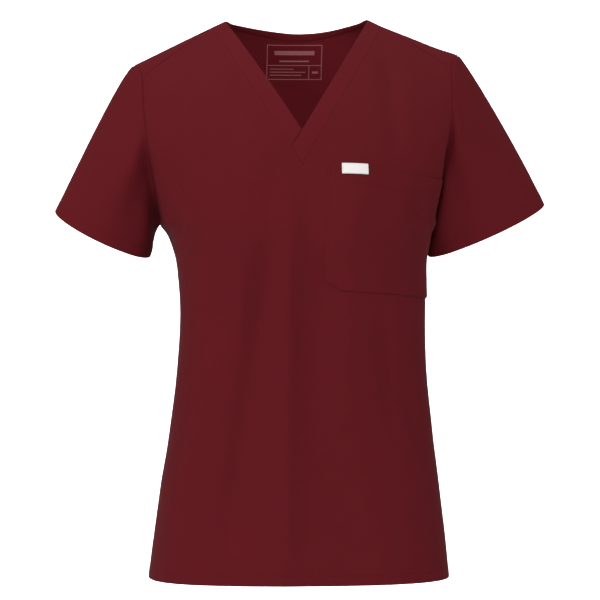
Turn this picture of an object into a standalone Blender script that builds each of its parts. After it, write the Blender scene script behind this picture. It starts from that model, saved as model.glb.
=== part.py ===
"""A woman's short-sleeved V-neck tunic top, empty but holding the shape it is worn in.

The garment faces -Y, its wearer's left side is +X and +Z is up. The origin lies between the two
points where the neckline crosses the shoulders. Sizes in the tables are millimetres.

The body is one closed surface, found by how far across it (0 at centre front or back, 1 at the side seam
or armhole) and how far along the cloth (0 at the front hem, up over the shoulder ridge and down to the
back hem) a point lies. Each panel is a stretch of that surface, closed into a wall.
"""

import math

import bmesh
import bpy
import numpy as np
from mathutils import Vector

MM = 0.001

# Walls, gaps between pieces, and how much cloth one unit of across is near the side seam
PANEL_WALL = 1.5
BAND_WALL = 2.2
POCKET_WALL = 1.2
TAPE_WALL = 1.0
TAB_WALL = 1.0
SEAM_GAP = 0.3
LAY_GAP = 0.3
TAPE_GAP = 0.7
SLEEVE_GAP = 0.45
LAP_GAP = 0.35
SIDE_SPREAD = 185.0

# Shoulders and neckline
NECK_HALF_WIDTH = 82.0
SHOULDER_SLOPE = 0.4525
SLOPE_DIFFERENCE = 0.0345
SLOPE_BLEND = 40.0
SHOULDER_TILT = 0.018
LEFT_SHOULDER_DROP = 1.7
NAPE_ROUNDING = 30.0
SEAM_FORWARD_AT_NECK = 8.0
SEAM_FORWARD_AT_TIP = 40.0
V_DEPTH = 131.0
BAND_DROP = 39.0
BAND_TOP_HALF_WIDTH = 97.5
BACK_NECK_DEPTH = 62.0
BACK_NECK_ROUNDNESS = 1.7
TAPE_WIDTH = 6.0

# Level sections from hem to armpit, shared by the front and the back.
# height, centre, half width, front depth, back depth, roundness
LOWER_ROWS = (
    (-636.0, 2.4, 172.0, 125.0, 123.0, 2.7),
    (-607.0, 2.9, 169.0, 124.0, 122.0, 2.7),
    (-538.0, 4.0, 160.0, 119.0, 115.0, 2.7),
    (-470.0, 5.2, 150.7, 113.0, 104.0, 2.7),
    (-400.0, 6.3, 142.6, 109.0, 95.0, 2.65),
    (-331.0, 7.2, 140.3, 112.0, 91.0, 2.6),
    (-300.0, 6.4, 141.8, 118.0, 92.0, 2.55),
    (-272.0, 5.0, 144.0, 124.0, 94.0, 2.5),
    (-254.0, 4.0, 148.5, 127.5, 96.0, 2.5),
    (-243.0, 2.4, 152.0, 128.5, 97.0, 2.55),
    (-234.0, 1.0, 157.5, 129.0, 98.0, 2.6),
)

# Sections between armpit and shoulder ridge, from the armpit up. Slope share tells how far a row follows
# the slope of the shoulder; edge depth and turn are where the armhole's edge lies and how far the cloth
# has turned to the side there.
# height, slope share, half width, depth, edge depth, roundness, turn in degrees
UPPER_FRONT_ROWS = (
    (-224.0, 0.00, 158.0, 128.5, 22.0, 2.6, 82.0),
    (-207.0, 0.00, 161.0, 127.0, 41.0, 2.7, 72.0),
    (-185.0, 0.04, 165.0, 123.0, 53.0, 2.7, 64.0),
    (-155.0, 0.14, 169.0, 115.0, 60.0, 2.7, 58.0),
    (-125.0, 0.30, 172.0, 104.0, 60.0, 2.7, 55.0),
    (-95.0, 0.50, 174.0, 89.0, 54.0, 2.8, 53.0),
    (-68.0, 0.72, 175.5, 71.0, 46.0, 2.9, 51.0),
    (-45.0, 0.88, 176.0, 53.0, 39.0, 3.0, 50.0),
    (-28.0, 0.96, 176.5, 38.5, 32.0, 3.0, 50.0),
    (-14.5, 1.00, 178.0, 26.0, 24.5, 3.0, 50.0),
    (-6.0, 1.00, 182.0, 17.5, 17.0, 3.0, 50.0),
    (-1.5, 1.00, 185.5, 9.0, 8.8, 3.0, 50.0),
)
RIDGE_ROW = (0.0, 1.00, 187.0, 0.0, 0.0, 3.0, 50.0)
UPPER_BACK_ROWS = (
    (-224.0, 0.00, 158.0, 98.5, 22.0, 2.6, 82.0),
    (-207.0, 0.00, 161.0, 99.0, 41.0, 2.7, 72.0),
    (-185.0, 0.04, 165.0, 99.5, 53.0, 2.7, 64.0),
    (-155.0, 0.16, 169.0, 98.5, 61.0, 2.7, 58.0),
    (-115.0, 0.38, 172.0, 94.0, 62.5, 2.7, 55.0),
    (-80.0, 0.60, 174.0, 86.0, 59.0, 2.6, 53.0),
    (-52.0, 0.78, 175.0, 74.5, 52.0, 2.5, 51.0),
    (-31.0, 0.90, 176.0, 60.0, 43.0, 2.4, 50.0),
    (-16.5, 0.97, 177.5, 43.0, 34.0, 2.6, 50.0),
    (-8.5, 1.00, 179.5, 28.5, 25.0, 2.8, 50.0),
    (-4.5, 1.00, 182.5, 18.0, 17.0, 3.0, 50.0),
    (-1.2, 1.00, 185.5, 9.0, 8.8, 3.0, 50.0),
)

# Soft folds of the cloth: a ridge lifts and a trough sinks along a line seen from the front or back.
# face, x and z where it starts, x and z where it ends, half width, lift
FOLDS = (
    ("front", -13.0, -175.0, -16.0, -650.0, 15.0, 4.6),
    ("front", 5.0, -180.0, 4.0, -440.0, 11.0, -2.4),
    ("front", -28.0, -210.0, -92.0, -665.0, 19.0, -6.0),
    ("front", -136.0, -490.0, -146.0, -665.0, 16.0, 4.0),
    ("front", 110.0, -398.0, 148.0, -505.0, 11.0, -3.0),
    ("front", 0.0, -450.0, 2.0, -665.0, 30.0, 2.5),
    ("front", -152.0, -150.0, -134.0, -268.0, 14.0, -4.5),
    ("front", -108.0, -60.0, -104.0, -170.0, 18.0, 3.0),
    ("front", 134.0, -172.0, 131.0, -268.0, 10.0, -2.5),
    ("front", 100.0, -40.0, 106.0, -172.0, 12.0, -2.2),
    ("front", 66.0, -190.0, 62.0, -440.0, 28.0, 4.5),
    ("back", 60.0, -230.0, 82.0, -640.0, 22.0, 2.4),
    ("back", 22.0, -330.0, 18.0, -640.0, 20.0, -2.4),
    ("back", -64.0, -250.0, -70.0, -640.0, 24.0, 2.2),
    ("back", -112.0, -380.0, -128.0, -640.0, 20.0, -2.0),
    ("back", 128.0, -175.0, 118.0, -270.0, 14.0, -2.4),
    ("back", -128.0, -175.0, -120.0, -262.0, 14.0, -2.4),
)

# How much of a fold's length each end takes to rise, at least how much, and how near the side seam the
# folds die out.
FOLD_END = 0.13
SHORTEST_END = 14.0
FOLD_SIDE_FADE = 0.12

# Sleeves: cuff centre, cuff's outer corner, half depth of the cuff, droop of its front edge, how far
# the cloth pushes out past the shoulder, and how far it puffs forwards and backwards of the armhole.
SLEEVES = {
    "right": {
        "side": -1.0,
        "cuff": (-222.0, -6.0, -244.5),
        "outer_corner": (-276.0, -6.0, -218.5),
        "half_depth": 42.0,
        "droop": 11.0,
        "shoulder_push": 42.0,
        "front_puff": 20.0,
        "back_puff": 16.0,
    },
    "left": {
        "side": 1.0,
        "cuff": (222.5, 10.0, -239.5),
        "outer_corner": (288.5, 10.0, -209.0),
        "half_depth": 32.0,
        "droop": 8.0,
        "shoulder_push": 22.0,
        "front_puff": -20.0,
        "back_puff": 30.0,
    },
}
ARMPIT_PUSH = 16.0
CAP_CROWDING = 0.3

# Chest pocket, seen from the front: a point inside it, the corners of its free edges, and the woven tab
# on its top edge.
POCKET_MIDDLE = (85.0, -240.0)
POCKET_TOP = ((27.7, -166.5), (157.0, -183.5))
POCKET_SIDE = ((27.7, -166.5), (22.4, -297.0))
POCKET_CORNER = ((22.4, -297.0), (45.0, -309.0))
POCKET_BOTTOM = ((45.0, -309.0), (141.0, -316.5))
TAB_CORNERS = ((43.0, -168.8), (72.9, -182.2))
TAB_SLANT = 0.6

# Mesh divisions, the widths of a panel's first and last column, and how far rows crowd at the shoulder
SIDE_STEPS = 13
ARMHOLE_STEPS = 20
CORNER_STEPS = 4
V_STEPS = ARMHOLE_STEPS - CORNER_STEPS
NAPE_STEPS = 9
BACK_NECK_STEPS = ARMHOLE_STEPS - NAPE_STEPS
COLUMNS = 14
FIRST_COLUMN = 12.0
EDGE_COLUMN = 6.0
BAND_COLUMNS = 2
SLEEVE_STEPS = 10
EASING = 1.35

# Colours (linear) and finish
BURGUNDY = (0.105, 0.010, 0.014)
OFF_WHITE = (0.78, 0.77, 0.75)
CLOTH_ROUGHNESS = 0.85


# The body's surface

def body_table():
    """Rows along the cloth: height, slope share, centre, half width, depth, edge depth, roundness, turn."""
    def lower(row, sign):
        height, centre, half, front, back, roundness = row
        depth = front if sign < 0 else back
        return (height, 0.0, centre, half, sign * depth, 0.0, roundness, 90.0)

    def upper(row, sign):
        height, share, half, depth, edge, roundness, turn = row
        return (height, share, 0.0, half, sign * depth, sign * edge, roundness, turn)

    front = [lower(row, -1.0) for row in LOWER_ROWS]
    front += [upper(row, -1.0) for row in UPPER_FRONT_ROWS]
    back = [lower(row, 1.0) for row in LOWER_ROWS]
    back += [upper(row, 1.0) for row in UPPER_BACK_ROWS]
    return np.array(front + [upper(RIDGE_ROW, 1.0)] + back[::-1])


def table_runs(table):
    """Distance along the cloth of each row, from the front hem over the ridge to the back hem."""
    runs = [0.0]
    for first, second in zip(table[:-1], table[1:]):
        rise = second[0] - first[0]
        reach = second[4] - first[4]
        level = first[7] == 90.0 and second[7] == 90.0
        runs.append(runs[-1] + (abs(rise) if level else math.hypot(rise, reach)))
    return np.array(runs)


TABLE = body_table()
RUNS = table_runs(TABLE)
SLOPES = np.gradient(TABLE, RUNS, axis=0)
ARMPIT_ROW = len(LOWER_ROWS) - 1
RIDGE_INDEX = ARMPIT_ROW + len(UPPER_FRONT_ROWS) + 1
RUN_ARMPIT = RUNS[ARMPIT_ROW]
RUN_RIDGE = RUNS[RIDGE_INDEX]
RUN_END = RUNS[-1]
RUN_BACK_ARMPIT = RUN_END - RUN_ARMPIT


def body_rows(run):
    """The table's columns at distances along the cloth, on a smooth curve through its rows."""
    index = np.clip(np.searchsorted(RUNS, run) - 1, 0, len(RUNS) - 2)
    span = RUNS[index + 1] - RUNS[index]
    t = ((run - RUNS[index]) / span)[:, None]
    span = span[:, None]
    rows = (2 * t**3 - 3 * t**2 + 1) * TABLE[index]
    rows += (3 * t**2 - 2 * t**3) * TABLE[index + 1]
    rows += (t**3 - 2 * t**2 + t) * span * SLOPES[index]
    rows += (t**3 - t**2) * span * SLOPES[index + 1]
    return rows.T


def rounded(angle, roundness):
    """Across and forward parts of a rounded-square quarter section, angle 0 straight ahead."""
    across = np.sin(angle)
    ahead = np.cos(angle)
    reach = (np.abs(across) ** roundness + np.abs(ahead) ** roundness) ** (1.0 / roundness)
    return across / reach, ahead / reach


def smooth_step(value, low, high):
    """0 below a range and 1 above it, with a smooth rise between."""
    share = np.clip((value - low) / (high - low), 0.0, 1.0)
    return share * share * (3.0 - 2.0 * share)


def smooth_body(across, run):
    """Points of the body before its folds, in millimetres."""
    height, share, centre, half, depth, edge, roundness, turn = body_rows(run)
    out, ahead = rounded(np.radians(turn) * np.abs(across), roundness)
    out_end, ahead_end = rounded(np.radians(turn), roundness)
    x = centre + np.sign(across) * half * out / out_end
    y = edge + (depth - edge) * (ahead - ahead_end) / (1.0 - ahead_end)
    slope = SHOULDER_SLOPE - SLOPE_DIFFERENCE * np.tanh(x / SLOPE_BLEND)
    fall = np.hypot(x, NAPE_ROUNDING) - math.hypot(NECK_HALF_WIDTH, NAPE_ROUNDING)
    drop = LEFT_SHOULDER_DROP * smooth_step(x, 76.0, 102.0) * (1.0 - smooth_step(x, 158.0, 186.0))
    z = height - share * (slope * fall - SHOULDER_TILT * (x + NECK_HALF_WIDTH) + drop)
    return np.stack([x, y, z], axis=1)


def outward(across, run, surface=smooth_body, step=0.5):
    """Unit normals of the body, pointing away from the wearer."""
    shift = 0.002
    along = surface(across, run + step) - surface(across, run - step)
    sideways = surface(across + shift, run) - surface(across - shift, run)
    normal = np.cross(sideways, along)
    return normal / np.linalg.norm(normal, axis=1)[:, None]


def fold_lift(points, on_front):
    """How far the folds lift the cloth at points of the body."""
    lift = np.zeros(len(points))
    for face, x0, z0, x1, z1, half_width, height in FOLDS:
        start = np.array([x0, z0])
        line = np.array([x1, z1]) - start
        length = np.linalg.norm(line)
        offset = points[:, [0, 2]] - start
        along = offset @ line / length
        beside = (offset[:, 0] * line[1] - offset[:, 1] * line[0]) / length
        end = max(FOLD_END * length, SHORTEST_END)
        fade = 1.0 / (1.0 + np.exp(-(along - end) / (0.4 * end)))
        fade *= 1.0 / (1.0 + np.exp(-(length - end - along) / (0.4 * end)))
        this_side = on_front if face == "front" else ~on_front
        lift += this_side * height * fade * np.exp(-((beside / half_width) ** 2))
    return lift


def body_points(across, run, out=0.0):
    """Points of the draped body, moved out by a distance, in millimetres."""
    across = np.asarray(across, float)
    run = np.asarray(run, float)
    points = smooth_body(across, run)
    edge_fade = np.clip((1.0 - np.abs(across)) / FOLD_SIDE_FADE, 0.0, 1.0)
    lift = fold_lift(points, run < RUN_RIDGE) * edge_fade
    return points + outward(across, run) * (lift + out)[:, None]


def across_at(x, run):
    """Which part across the body lies at x, for distances along the cloth."""
    centre, half, roundness, turn = body_rows(run)[[2, 3, 6, 7]]
    out_end, _ = rounded(np.radians(turn), roundness)
    share = np.clip(np.abs(x - centre) / half * out_end, 0.0, 0.9999)
    ahead = (1.0 - share**roundness) ** (1.0 / roundness)
    return np.sign(x - centre) * np.arctan2(share, ahead) / np.radians(turn)


def find_run(x, wanted, axis, low, high):
    """Distance along the cloth where the body at x reaches a wanted y (axis 1) or z (axis 2)."""
    low = np.full(len(x), low)
    high = np.full(len(x), high)
    for _ in range(40):
        middle = (low + high) / 2.0
        short = smooth_body(across_at(x, middle), middle)[:, axis] < wanted
        low = np.where(short, middle, low)
        high = np.where(short, high, middle)
    return (low + high) / 2.0


def front_places(x, z):
    """Places on the body's front, (across, run), of points seen from the front."""
    run = find_run(x, z, 2, RUN_ARMPIT - 120.0, RUN_RIDGE)
    return np.stack([across_at(x, run), run], axis=1)


def shoulder_seam_run(across, gap=0.0):
    """Distance along the cloth of the forward shoulder seam, or of an edge a gap behind it."""
    neck = neck_seam_place(1.0)[0]
    share = (np.abs(across) - neck) / (1.0 - neck)
    forward = SEAM_FORWARD_AT_NECK + (SEAM_FORWARD_AT_TIP - SEAM_FORWARD_AT_NECK) * share
    return RUN_RIDGE - forward + gap


def neck_seam_place(side, gap=0.0):
    """Where the forward shoulder seam meets the neck edge."""
    run = np.array([RUN_RIDGE - SEAM_FORWARD_AT_NECK + gap])
    return np.array([across_at(np.array([side * NECK_HALF_WIDTH]), run)[0], run[0]])


def band_seam_place(side, seam_gap=0.0, gap=0.0):
    """Where the forward shoulder seam meets the outer edge of the neckband, or a gap outside it."""
    run = RUN_RIDGE - SEAM_FORWARD_AT_NECK
    for _ in range(8):
        across = across_at(np.array([side * (BAND_TOP_HALF_WIDTH + gap)]), np.array([run]))[0]
        run = shoulder_seam_run(across, seam_gap)
    return np.array([across, run])


def line_places(start, end, steps):
    """Places along a line that is straight when seen from the front, closer together at its end."""
    share = eased(steps)
    x = start[0] + (end[0] - start[0]) * share
    z = start[1] + (end[1] - start[1]) * share
    return front_places(x, z)


def seen_from_front(place):
    """x and z of a place on the body."""
    point = smooth_body(np.array([place[0]]), np.array([place[1]]))[0]
    return point[0], point[2]


def eased(steps):
    """Shares of a way that come closer together towards its end."""
    return 1.0 - (1.0 - np.linspace(0.0, 1.0, steps + 1)) ** EASING


def spread(first, last, steps, ease=False):
    """Places between two, evenly spaced or closer together towards the last."""
    share = (eased(steps) if ease else np.linspace(0.0, 1.0, steps + 1))[:, None]
    return np.asarray(first) + (np.asarray(last) - np.asarray(first)) * share


# Edges of the panels, as places from the hem up

def v_point(gap):
    """The point of the neckband's V seen from the front, or a gap below it."""
    rise = V_DEPTH + BAND_DROP
    drop = gap * math.hypot(rise, BAND_TOP_HALF_WIDTH) / BAND_TOP_HALF_WIDTH
    return 0.0, -rise - drop


def v_edge(side, gap):
    """The neckband's outer edge from the point of the V up to the seam, or a gap outside it."""
    top = band_seam_place(side, -SEAM_GAP / 2.0, gap)
    places = line_places(v_point(gap), seen_from_front(top), V_STEPS)
    places[0, 0] = 0.0
    places[-1] = top
    return places


def side_edge(side, run_hem, run_armpit):
    """The side seam's edge, half a seam's gap from the seam."""
    across = side * (1.0 - SEAM_GAP / 2.0 / SIDE_SPREAD)
    return spread((across, run_hem), (across, run_armpit), SIDE_STEPS)


def front_edges(side):
    """Inner and outer edge of one half of the front, from the hem to the shoulder seam."""
    half_gap = SEAM_GAP / 2.0
    neckline = v_edge(side, half_gap)
    inner = np.concatenate([
        spread((0.0, 0.0), (0.0, RUN_ARMPIT), SIDE_STEPS)[:-1],
        spread((0.0, RUN_ARMPIT), neckline[0], CORNER_STEPS)[:-1],
        neckline,
    ])
    tip = (side, shoulder_seam_run(1.0, -half_gap))
    outer = np.concatenate([
        side_edge(side, 0.0, RUN_ARMPIT),
        spread((side, RUN_ARMPIT), tip, ARMHOLE_STEPS, ease=True)[1:],
    ])
    return inner, outer


def back_neckline(side, wider=0.0):
    """One half of the back neckline from centre back to the shoulder seam, or a line a width outside it."""
    reach = BACK_NECK_DEPTH + SEAM_FORWARD_AT_NECK
    angle = eased(BACK_NECK_STEPS) * math.pi / 2.0
    x = side * (NECK_HALF_WIDTH + wider) * np.sin(angle) ** (2.0 / BACK_NECK_ROUNDNESS)
    ahead = np.maximum(np.cos(angle), 0.0) ** (2.0 / BACK_NECK_ROUNDNESS)
    y = -SEAM_FORWARD_AT_NECK + (reach + wider) * ahead
    run = find_run(x, y, 1, RUN_RIDGE - 60.0, RUN_RIDGE + 160.0)
    places = np.stack([across_at(x, run), run], axis=1)
    places[0, 0] = 0.0
    top = np.array([places[-1, 0], shoulder_seam_run(places[-1, 0], SEAM_GAP / 2.0)])
    top[0] = across_at(x[-1:], top[1:])[0]
    places[-1] = top
    return places


def back_edges(side):
    """Inner and outer edge of one half of the back, from the hem over the ridge to the shoulder seam."""
    half_gap = SEAM_GAP / 2.0
    neckline = back_neckline(side)
    inner = np.concatenate([
        spread((0.0, RUN_END), (0.0, RUN_BACK_ARMPIT), SIDE_STEPS)[:-1],
        spread((0.0, RUN_BACK_ARMPIT), neckline[0], NAPE_STEPS)[:-1],
        neckline,
    ])
    tip = (side, shoulder_seam_run(1.0, half_gap))
    outer = np.concatenate([
        side_edge(side, RUN_END, RUN_BACK_ARMPIT),
        spread((side, RUN_BACK_ARMPIT), tip, ARMHOLE_STEPS, ease=True)[1:],
    ])
    return inner, outer


def row_widths(inner, outer):
    """Straight width of each row between two edges."""
    return np.linalg.norm(smooth_body(*inner.T) - smooth_body(*outer.T), axis=1)


def column_shares(inner, outer, first, last):
    """Where the columns stand in each row: a first and a last one of given widths, and even ones between."""
    width = row_widths(inner, outer)[:, None]
    even = np.linspace(0.0, 1.0, COLUMNS - 1)
    low = first / width
    high = 1.0 - last / width
    return np.concatenate([0.0 * width, low + (high - low) * even, 1.0 + 0.0 * width], axis=1)


# Shells: open surfaces of quads, each vertex knowing its column and the way out of the cloth

def new_shell():
    """An empty mesh with the layers that a shell needs."""
    mesh = bmesh.new()
    mesh.verts.layers.int.new("column")
    mesh.verts.layers.float_vector.new("outward")
    return mesh


def add_patch(mesh, inner, outer, shares, out=0.0):
    """Adds the cloth between two edges of the body to a shell."""
    column_layer = mesh.verts.layers.int["column"]
    outward_layer = mesh.verts.layers.float_vector["outward"]
    steps = len(inner) - 1
    columns = shares.shape[1] - 1
    grid = bmesh.ops.create_grid(mesh, x_segments=columns, y_segments=steps, size=1.0)["verts"]
    column = np.array([round((vertex.co.x + 1.0) / 2.0 * columns) for vertex in grid])
    row = np.array([round((vertex.co.y + 1.0) / 2.0 * steps) for vertex in grid])
    places = inner[row] + (outer[row] - inner[row]) * shares[row, column][:, None]
    points = body_points(*places.T, out)
    normals = outward(*places.T, surface=body_points)
    for vertex, point, normal, number in zip(grid, points, normals, column):
        vertex.co = point * MM
        vertex[outward_layer] = normal
        vertex[column_layer] = int(number)


def join_halves(mesh):
    """Joins the halves of a shell down the middle, in triangles that face outwards."""
    bmesh.ops.remove_doubles(mesh, verts=mesh.verts, dist=0.01 * MM)
    bmesh.ops.recalc_face_normals(mesh, faces=mesh.faces)
    layer = mesh.verts.layers.float_vector["outward"]
    facing = sum(face.normal.dot(face.verts[0][layer]) for face in mesh.faces)
    if facing < 0.0:
        bmesh.ops.reverse_faces(mesh, faces=mesh.faces)
    bmesh.ops.triangulate(mesh, faces=mesh.faces)


def moved_out(mesh, distance):
    """A copy of a shell, moved out of the cloth."""
    copy = mesh.copy()
    layer = copy.verts.layers.float_vector["outward"]
    for vertex in copy.verts:
        vertex.co += vertex[layer] * distance * MM
    return copy


def with_wall(mesh, wall):
    """Closes a shell into a wall: the same faces again, one wall's thickness inside, and the rims."""
    layer = mesh.verts.layers.float_vector["outward"]
    bmesh.ops.reverse_faces(mesh, faces=mesh.faces)
    grown = bmesh.ops.extrude_face_region(mesh, geom=mesh.faces[:], use_keep_orig=True)
    for item in grown["geom"]:
        if isinstance(item, bmesh.types.BMVert):
            item.co -= item[layer].normalized() * wall * MM
    bmesh.ops.recalc_face_normals(mesh, faces=mesh.faces)
    return mesh


def cut_along(mesh, line, keep):
    """Cuts a shell along a line seen from the front and keeps the side that holds a point."""
    (x0, z0), (x1, z1) = line
    normal = (z0 - z1, 0.0, x1 - x0)
    if (keep[0] - x0) * normal[0] + (keep[1] - z0) * normal[2] < 0.0:
        normal = tuple(-value for value in normal)
    geometry = mesh.verts[:] + mesh.edges[:] + mesh.faces[:]
    bmesh.ops.bisect_plane(
        mesh, geom=geometry, dist=0.05 * MM, plane_co=(x0 * MM, 0.0, z0 * MM), plane_no=normal,
        clear_inner=True)


# The pieces of the body

def front_shell():
    """The front panel in two halves joined down the middle."""
    mesh = new_shell()
    for side in (-1.0, 1.0):
        inner, outer = front_edges(side)
        add_patch(mesh, inner, outer, column_shares(inner, outer, FIRST_COLUMN, EDGE_COLUMN))
    join_halves(mesh)
    return mesh


def back_shell():
    """The back panel, which reaches over the shoulders to the forward seam."""
    mesh = new_shell()
    for side in (-1.0, 1.0):
        inner, outer = back_edges(side)
        add_patch(mesh, inner, outer, column_shares(inner, outer, TAPE_WIDTH, EDGE_COLUMN))
    join_halves(mesh)
    return mesh


def neck_tape_shell():
    """The tape inside the back neckline."""
    mesh = new_shell()
    shares = np.tile((0.0, 1.0), (BACK_NECK_STEPS + 1, 1))
    for side in (-1.0, 1.0):
        add_patch(
            mesh, back_neckline(side), back_neckline(side, TAPE_WIDTH), shares, -PANEL_WALL - TAPE_GAP)
    join_halves(mesh)
    return mesh


def moved_along(start, end, distance):
    """A point moved towards another by a distance."""
    share = distance / math.dist(start, end)
    return tuple(first + (second - first) * share for first, second in zip(start, end))


def lap_point(low, high, left_neck):
    """Where the wearer's left band, run on past the neckline's point, meets the right band's outer edge."""
    low, high, left_neck = np.array(low), np.array(high), np.array(left_neck)
    tip = np.array([0.0, -V_DEPTH])
    share, _ = np.linalg.solve(np.stack([high - low, left_neck - tip], axis=1), tip - low)
    return tuple(low + (high - low) * share)


def neckband_shell(side):
    """A front neckband: the wearer's left one reaches the point of the V, the right one meets it there."""
    half_gap = SEAM_GAP / 2.0
    right_edge = v_edge(-1.0, -half_gap)
    left_neck = seen_from_front(neck_seam_place(1.0, -half_gap))
    lap = lap_point(v_point(-half_gap), seen_from_front(right_edge[-1]), left_neck)
    neck = neck_seam_place(side, -half_gap)
    if side > 0:
        outer = v_edge(side, -half_gap)
        inner = line_places(lap, left_neck, V_STEPS)
    else:
        outer = right_edge[1:]
        crossing = (0.0, lap[1] - lap[0] * (left_neck[1] - lap[1]) / (left_neck[0] - lap[0]))
        inner_end = moved_along(crossing, seen_from_front(neck), LAP_GAP)
        outer_end = moved_along(lap, seen_from_front(outer[1]), LAP_GAP)
        inner = line_places(inner_end, seen_from_front(neck), V_STEPS - 1)
        outer[0] = front_places(*np.array(outer_end)[:, None])[0]
    inner[-1] = neck
    mesh = new_shell()
    shares = np.tile(np.linspace(0.0, 1.0, BAND_COLUMNS + 1), (len(inner), 1))
    add_patch(mesh, inner, outer, shares, (BAND_WALL - PANEL_WALL) / 2.0)
    join_halves(mesh)
    return mesh


def pocket_shell(front):
    """The pocket, made from the front's own points, moved out and cut to its outline."""
    mesh = moved_out(front, LAY_GAP + POCKET_WALL)
    layer = mesh.verts.layers.int["column"]
    spare = [
        face for face in mesh.faces
        if face.calc_center_median().x < 0.0 or any(vertex[layer] == COLUMNS for vertex in face.verts)]
    bmesh.ops.delete(mesh, geom=spare, context="FACES")
    for line in (POCKET_TOP, POCKET_SIDE, POCKET_CORNER, POCKET_BOTTOM):
        cut_along(mesh, line, POCKET_MIDDLE)
    return mesh


def tab_shell(pocket):
    """The woven tab, made from the pocket's points."""
    (left, top), (right, bottom) = TAB_CORNERS
    middle = ((left + right) / 2.0, (top + bottom) / 2.0)
    mesh = moved_out(pocket, LAY_GAP + TAB_WALL)
    for line in (
            ((left, top), (right, top - TAB_SLANT)),
            ((left, bottom), (right, bottom - TAB_SLANT)),
            ((left, top), (left, bottom)),
            ((right, top), (right, bottom))):
        cut_along(mesh, line, middle)
    return mesh


# Sleeves

def armhole_places(side):
    """Places round the armhole, from the shoulder seam down the front and up the back."""
    _, front = front_edges(side)
    _, back = back_edges(side)
    return np.concatenate([front[SIDE_STEPS:][::-1], back[SIDE_STEPS + 1:]])[:-1]


def cuff_angles(loop):
    """How far round the sleeve each armhole point lies: 0 at the shoulder ridge, half a turn at the armpit."""
    steps = np.linalg.norm(np.roll(loop, -1, axis=0) - loop, axis=1)
    total = steps.sum()
    position = np.concatenate([[0.0], np.cumsum(steps)[:-1]])
    down = (position - position[np.argmax(loop[:, 2])]) % total
    bottom = down[np.argmin(loop[:, 2])]
    return np.where(
        down <= bottom, down / bottom * math.pi, math.pi + (down - bottom) / (total - bottom) * math.pi)


def sleeve_curves(sleeve, start):
    """Where each line of a sleeve ends at the cuff, and how it leaves the armhole and arrives there."""
    side = sleeve["side"]
    angle = cuff_angles(start)
    cuff = np.array(sleeve["cuff"])
    across_cuff = cuff - np.array(sleeve["outer_corner"])
    half_width = np.linalg.norm(across_cuff)
    across_cuff /= half_width
    axis = np.array([-across_cuff[2], 0.0, across_cuff[0]]) * side
    front_edge = np.array([0.0, -sleeve["half_depth"], 0.0]) + axis * sleeve["droop"]
    end = cuff - np.outer(np.cos(angle), across_cuff) * half_width + np.outer(np.sin(angle), front_edge)
    chord = end - start
    topness = np.cos(angle / 2.0)[:, None] ** 2
    slope = SHOULDER_SLOPE - SLOPE_DIFFERENCE * side
    push = np.array([side, 0.0, -slope]) / math.hypot(1.0, slope) * sleeve["shoulder_push"]
    leave = topness * push + (1.0 - topness) * (chord + np.array([side * ARMPIT_PUSH, 0.0, 0.0]))
    leave[:, 1] -= sleeve["front_puff"] * np.maximum(np.sin(angle), 0.0)
    leave[:, 1] += sleeve["back_puff"] * np.maximum(-np.sin(angle), 0.0)
    arrive = axis * np.linalg.norm(chord, axis=1)[:, None]
    return end, leave, arrive


def sleeve_shell(sleeve):
    """A sleeve: cloth that runs from the armhole round to the cuff."""
    places = armhole_places(sleeve["side"])
    body_normal = outward(*places.T, surface=body_points)
    start = body_points(*places.T)
    start[:, 0] += sleeve["side"] * SLEEVE_GAP
    end, leave, arrive = sleeve_curves(sleeve, start)
    around = len(start)
    mesh = new_shell()
    row_layer = mesh.verts.layers.int.new("row")
    column_layer = mesh.verts.layers.int["column"]
    outward_layer = mesh.verts.layers.float_vector["outward"]
    grid = bmesh.ops.create_grid(mesh, x_segments=around, y_segments=SLEEVE_STEPS, size=1.0)["verts"]
    for vertex in grid:
        column = round((vertex.co.x + 1.0) / 2.0 * around) % around
        row = round((vertex.co.y + 1.0) / 2.0 * SLEEVE_STEPS)
        t = row / SLEEVE_STEPS
        t *= 1.0 - CAP_CROWDING * (1.0 - t)
        point = (2 * t**3 - 3 * t**2 + 1) * start[column] + (3 * t**2 - 2 * t**3) * end[column]
        point = point + (t**3 - 2 * t**2 + t) * leave[column] + (t**3 - t**2) * arrive[column]
        vertex.co = point * MM
        vertex[column_layer] = column
        vertex[row_layer] = row
    bmesh.ops.remove_doubles(mesh, verts=mesh.verts, dist=0.005 * MM)
    bmesh.ops.recalc_face_normals(mesh, faces=mesh.faces)
    middle = Vector((start.mean(axis=0) + end.mean(axis=0)) / 2.0 * MM)
    if sum(face.normal.dot(face.calc_center_median() - middle) for face in mesh.faces) < 0.0:
        bmesh.ops.reverse_faces(mesh, faces=mesh.faces)
    mesh.normal_update()
    for vertex in mesh.verts:
        vertex[outward_layer] = vertex.normal
        if vertex[row_layer] == 0:
            beside = Vector(body_normal[vertex[column_layer]])
            share = min(max(2.0 * beside.dot(vertex.normal), 0.0), 1.0)
            vertex[outward_layer] = (beside * share + vertex.normal * (1.0 - share)).normalized()
    return mesh


# Objects

def fabric(name, colour):
    """A plain cloth material."""
    material = bpy.data.materials.new(name)
    material.use_nodes = True
    shader = material.node_tree.nodes["Principled BSDF"]
    shader.inputs["Base Color"].default_value = (*colour, 1.0)
    shader.inputs["Roughness"].default_value = CLOTH_ROUGHNESS
    shader.inputs["Metallic"].default_value = 0.0
    return material


def cloth_object(name, shell, wall, colour, collection):
    """Makes a named piece from a shell."""
    mesh = with_wall(shell, wall)
    data = bpy.data.meshes.new(name)
    mesh.to_mesh(data)
    mesh.free()
    data.shade_smooth()
    data.set_sharp_from_angle(angle=math.radians(50.0))
    data.materials.append(fabric(name, colour))
    collection.objects.link(bpy.data.objects.new(name, data))


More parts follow.
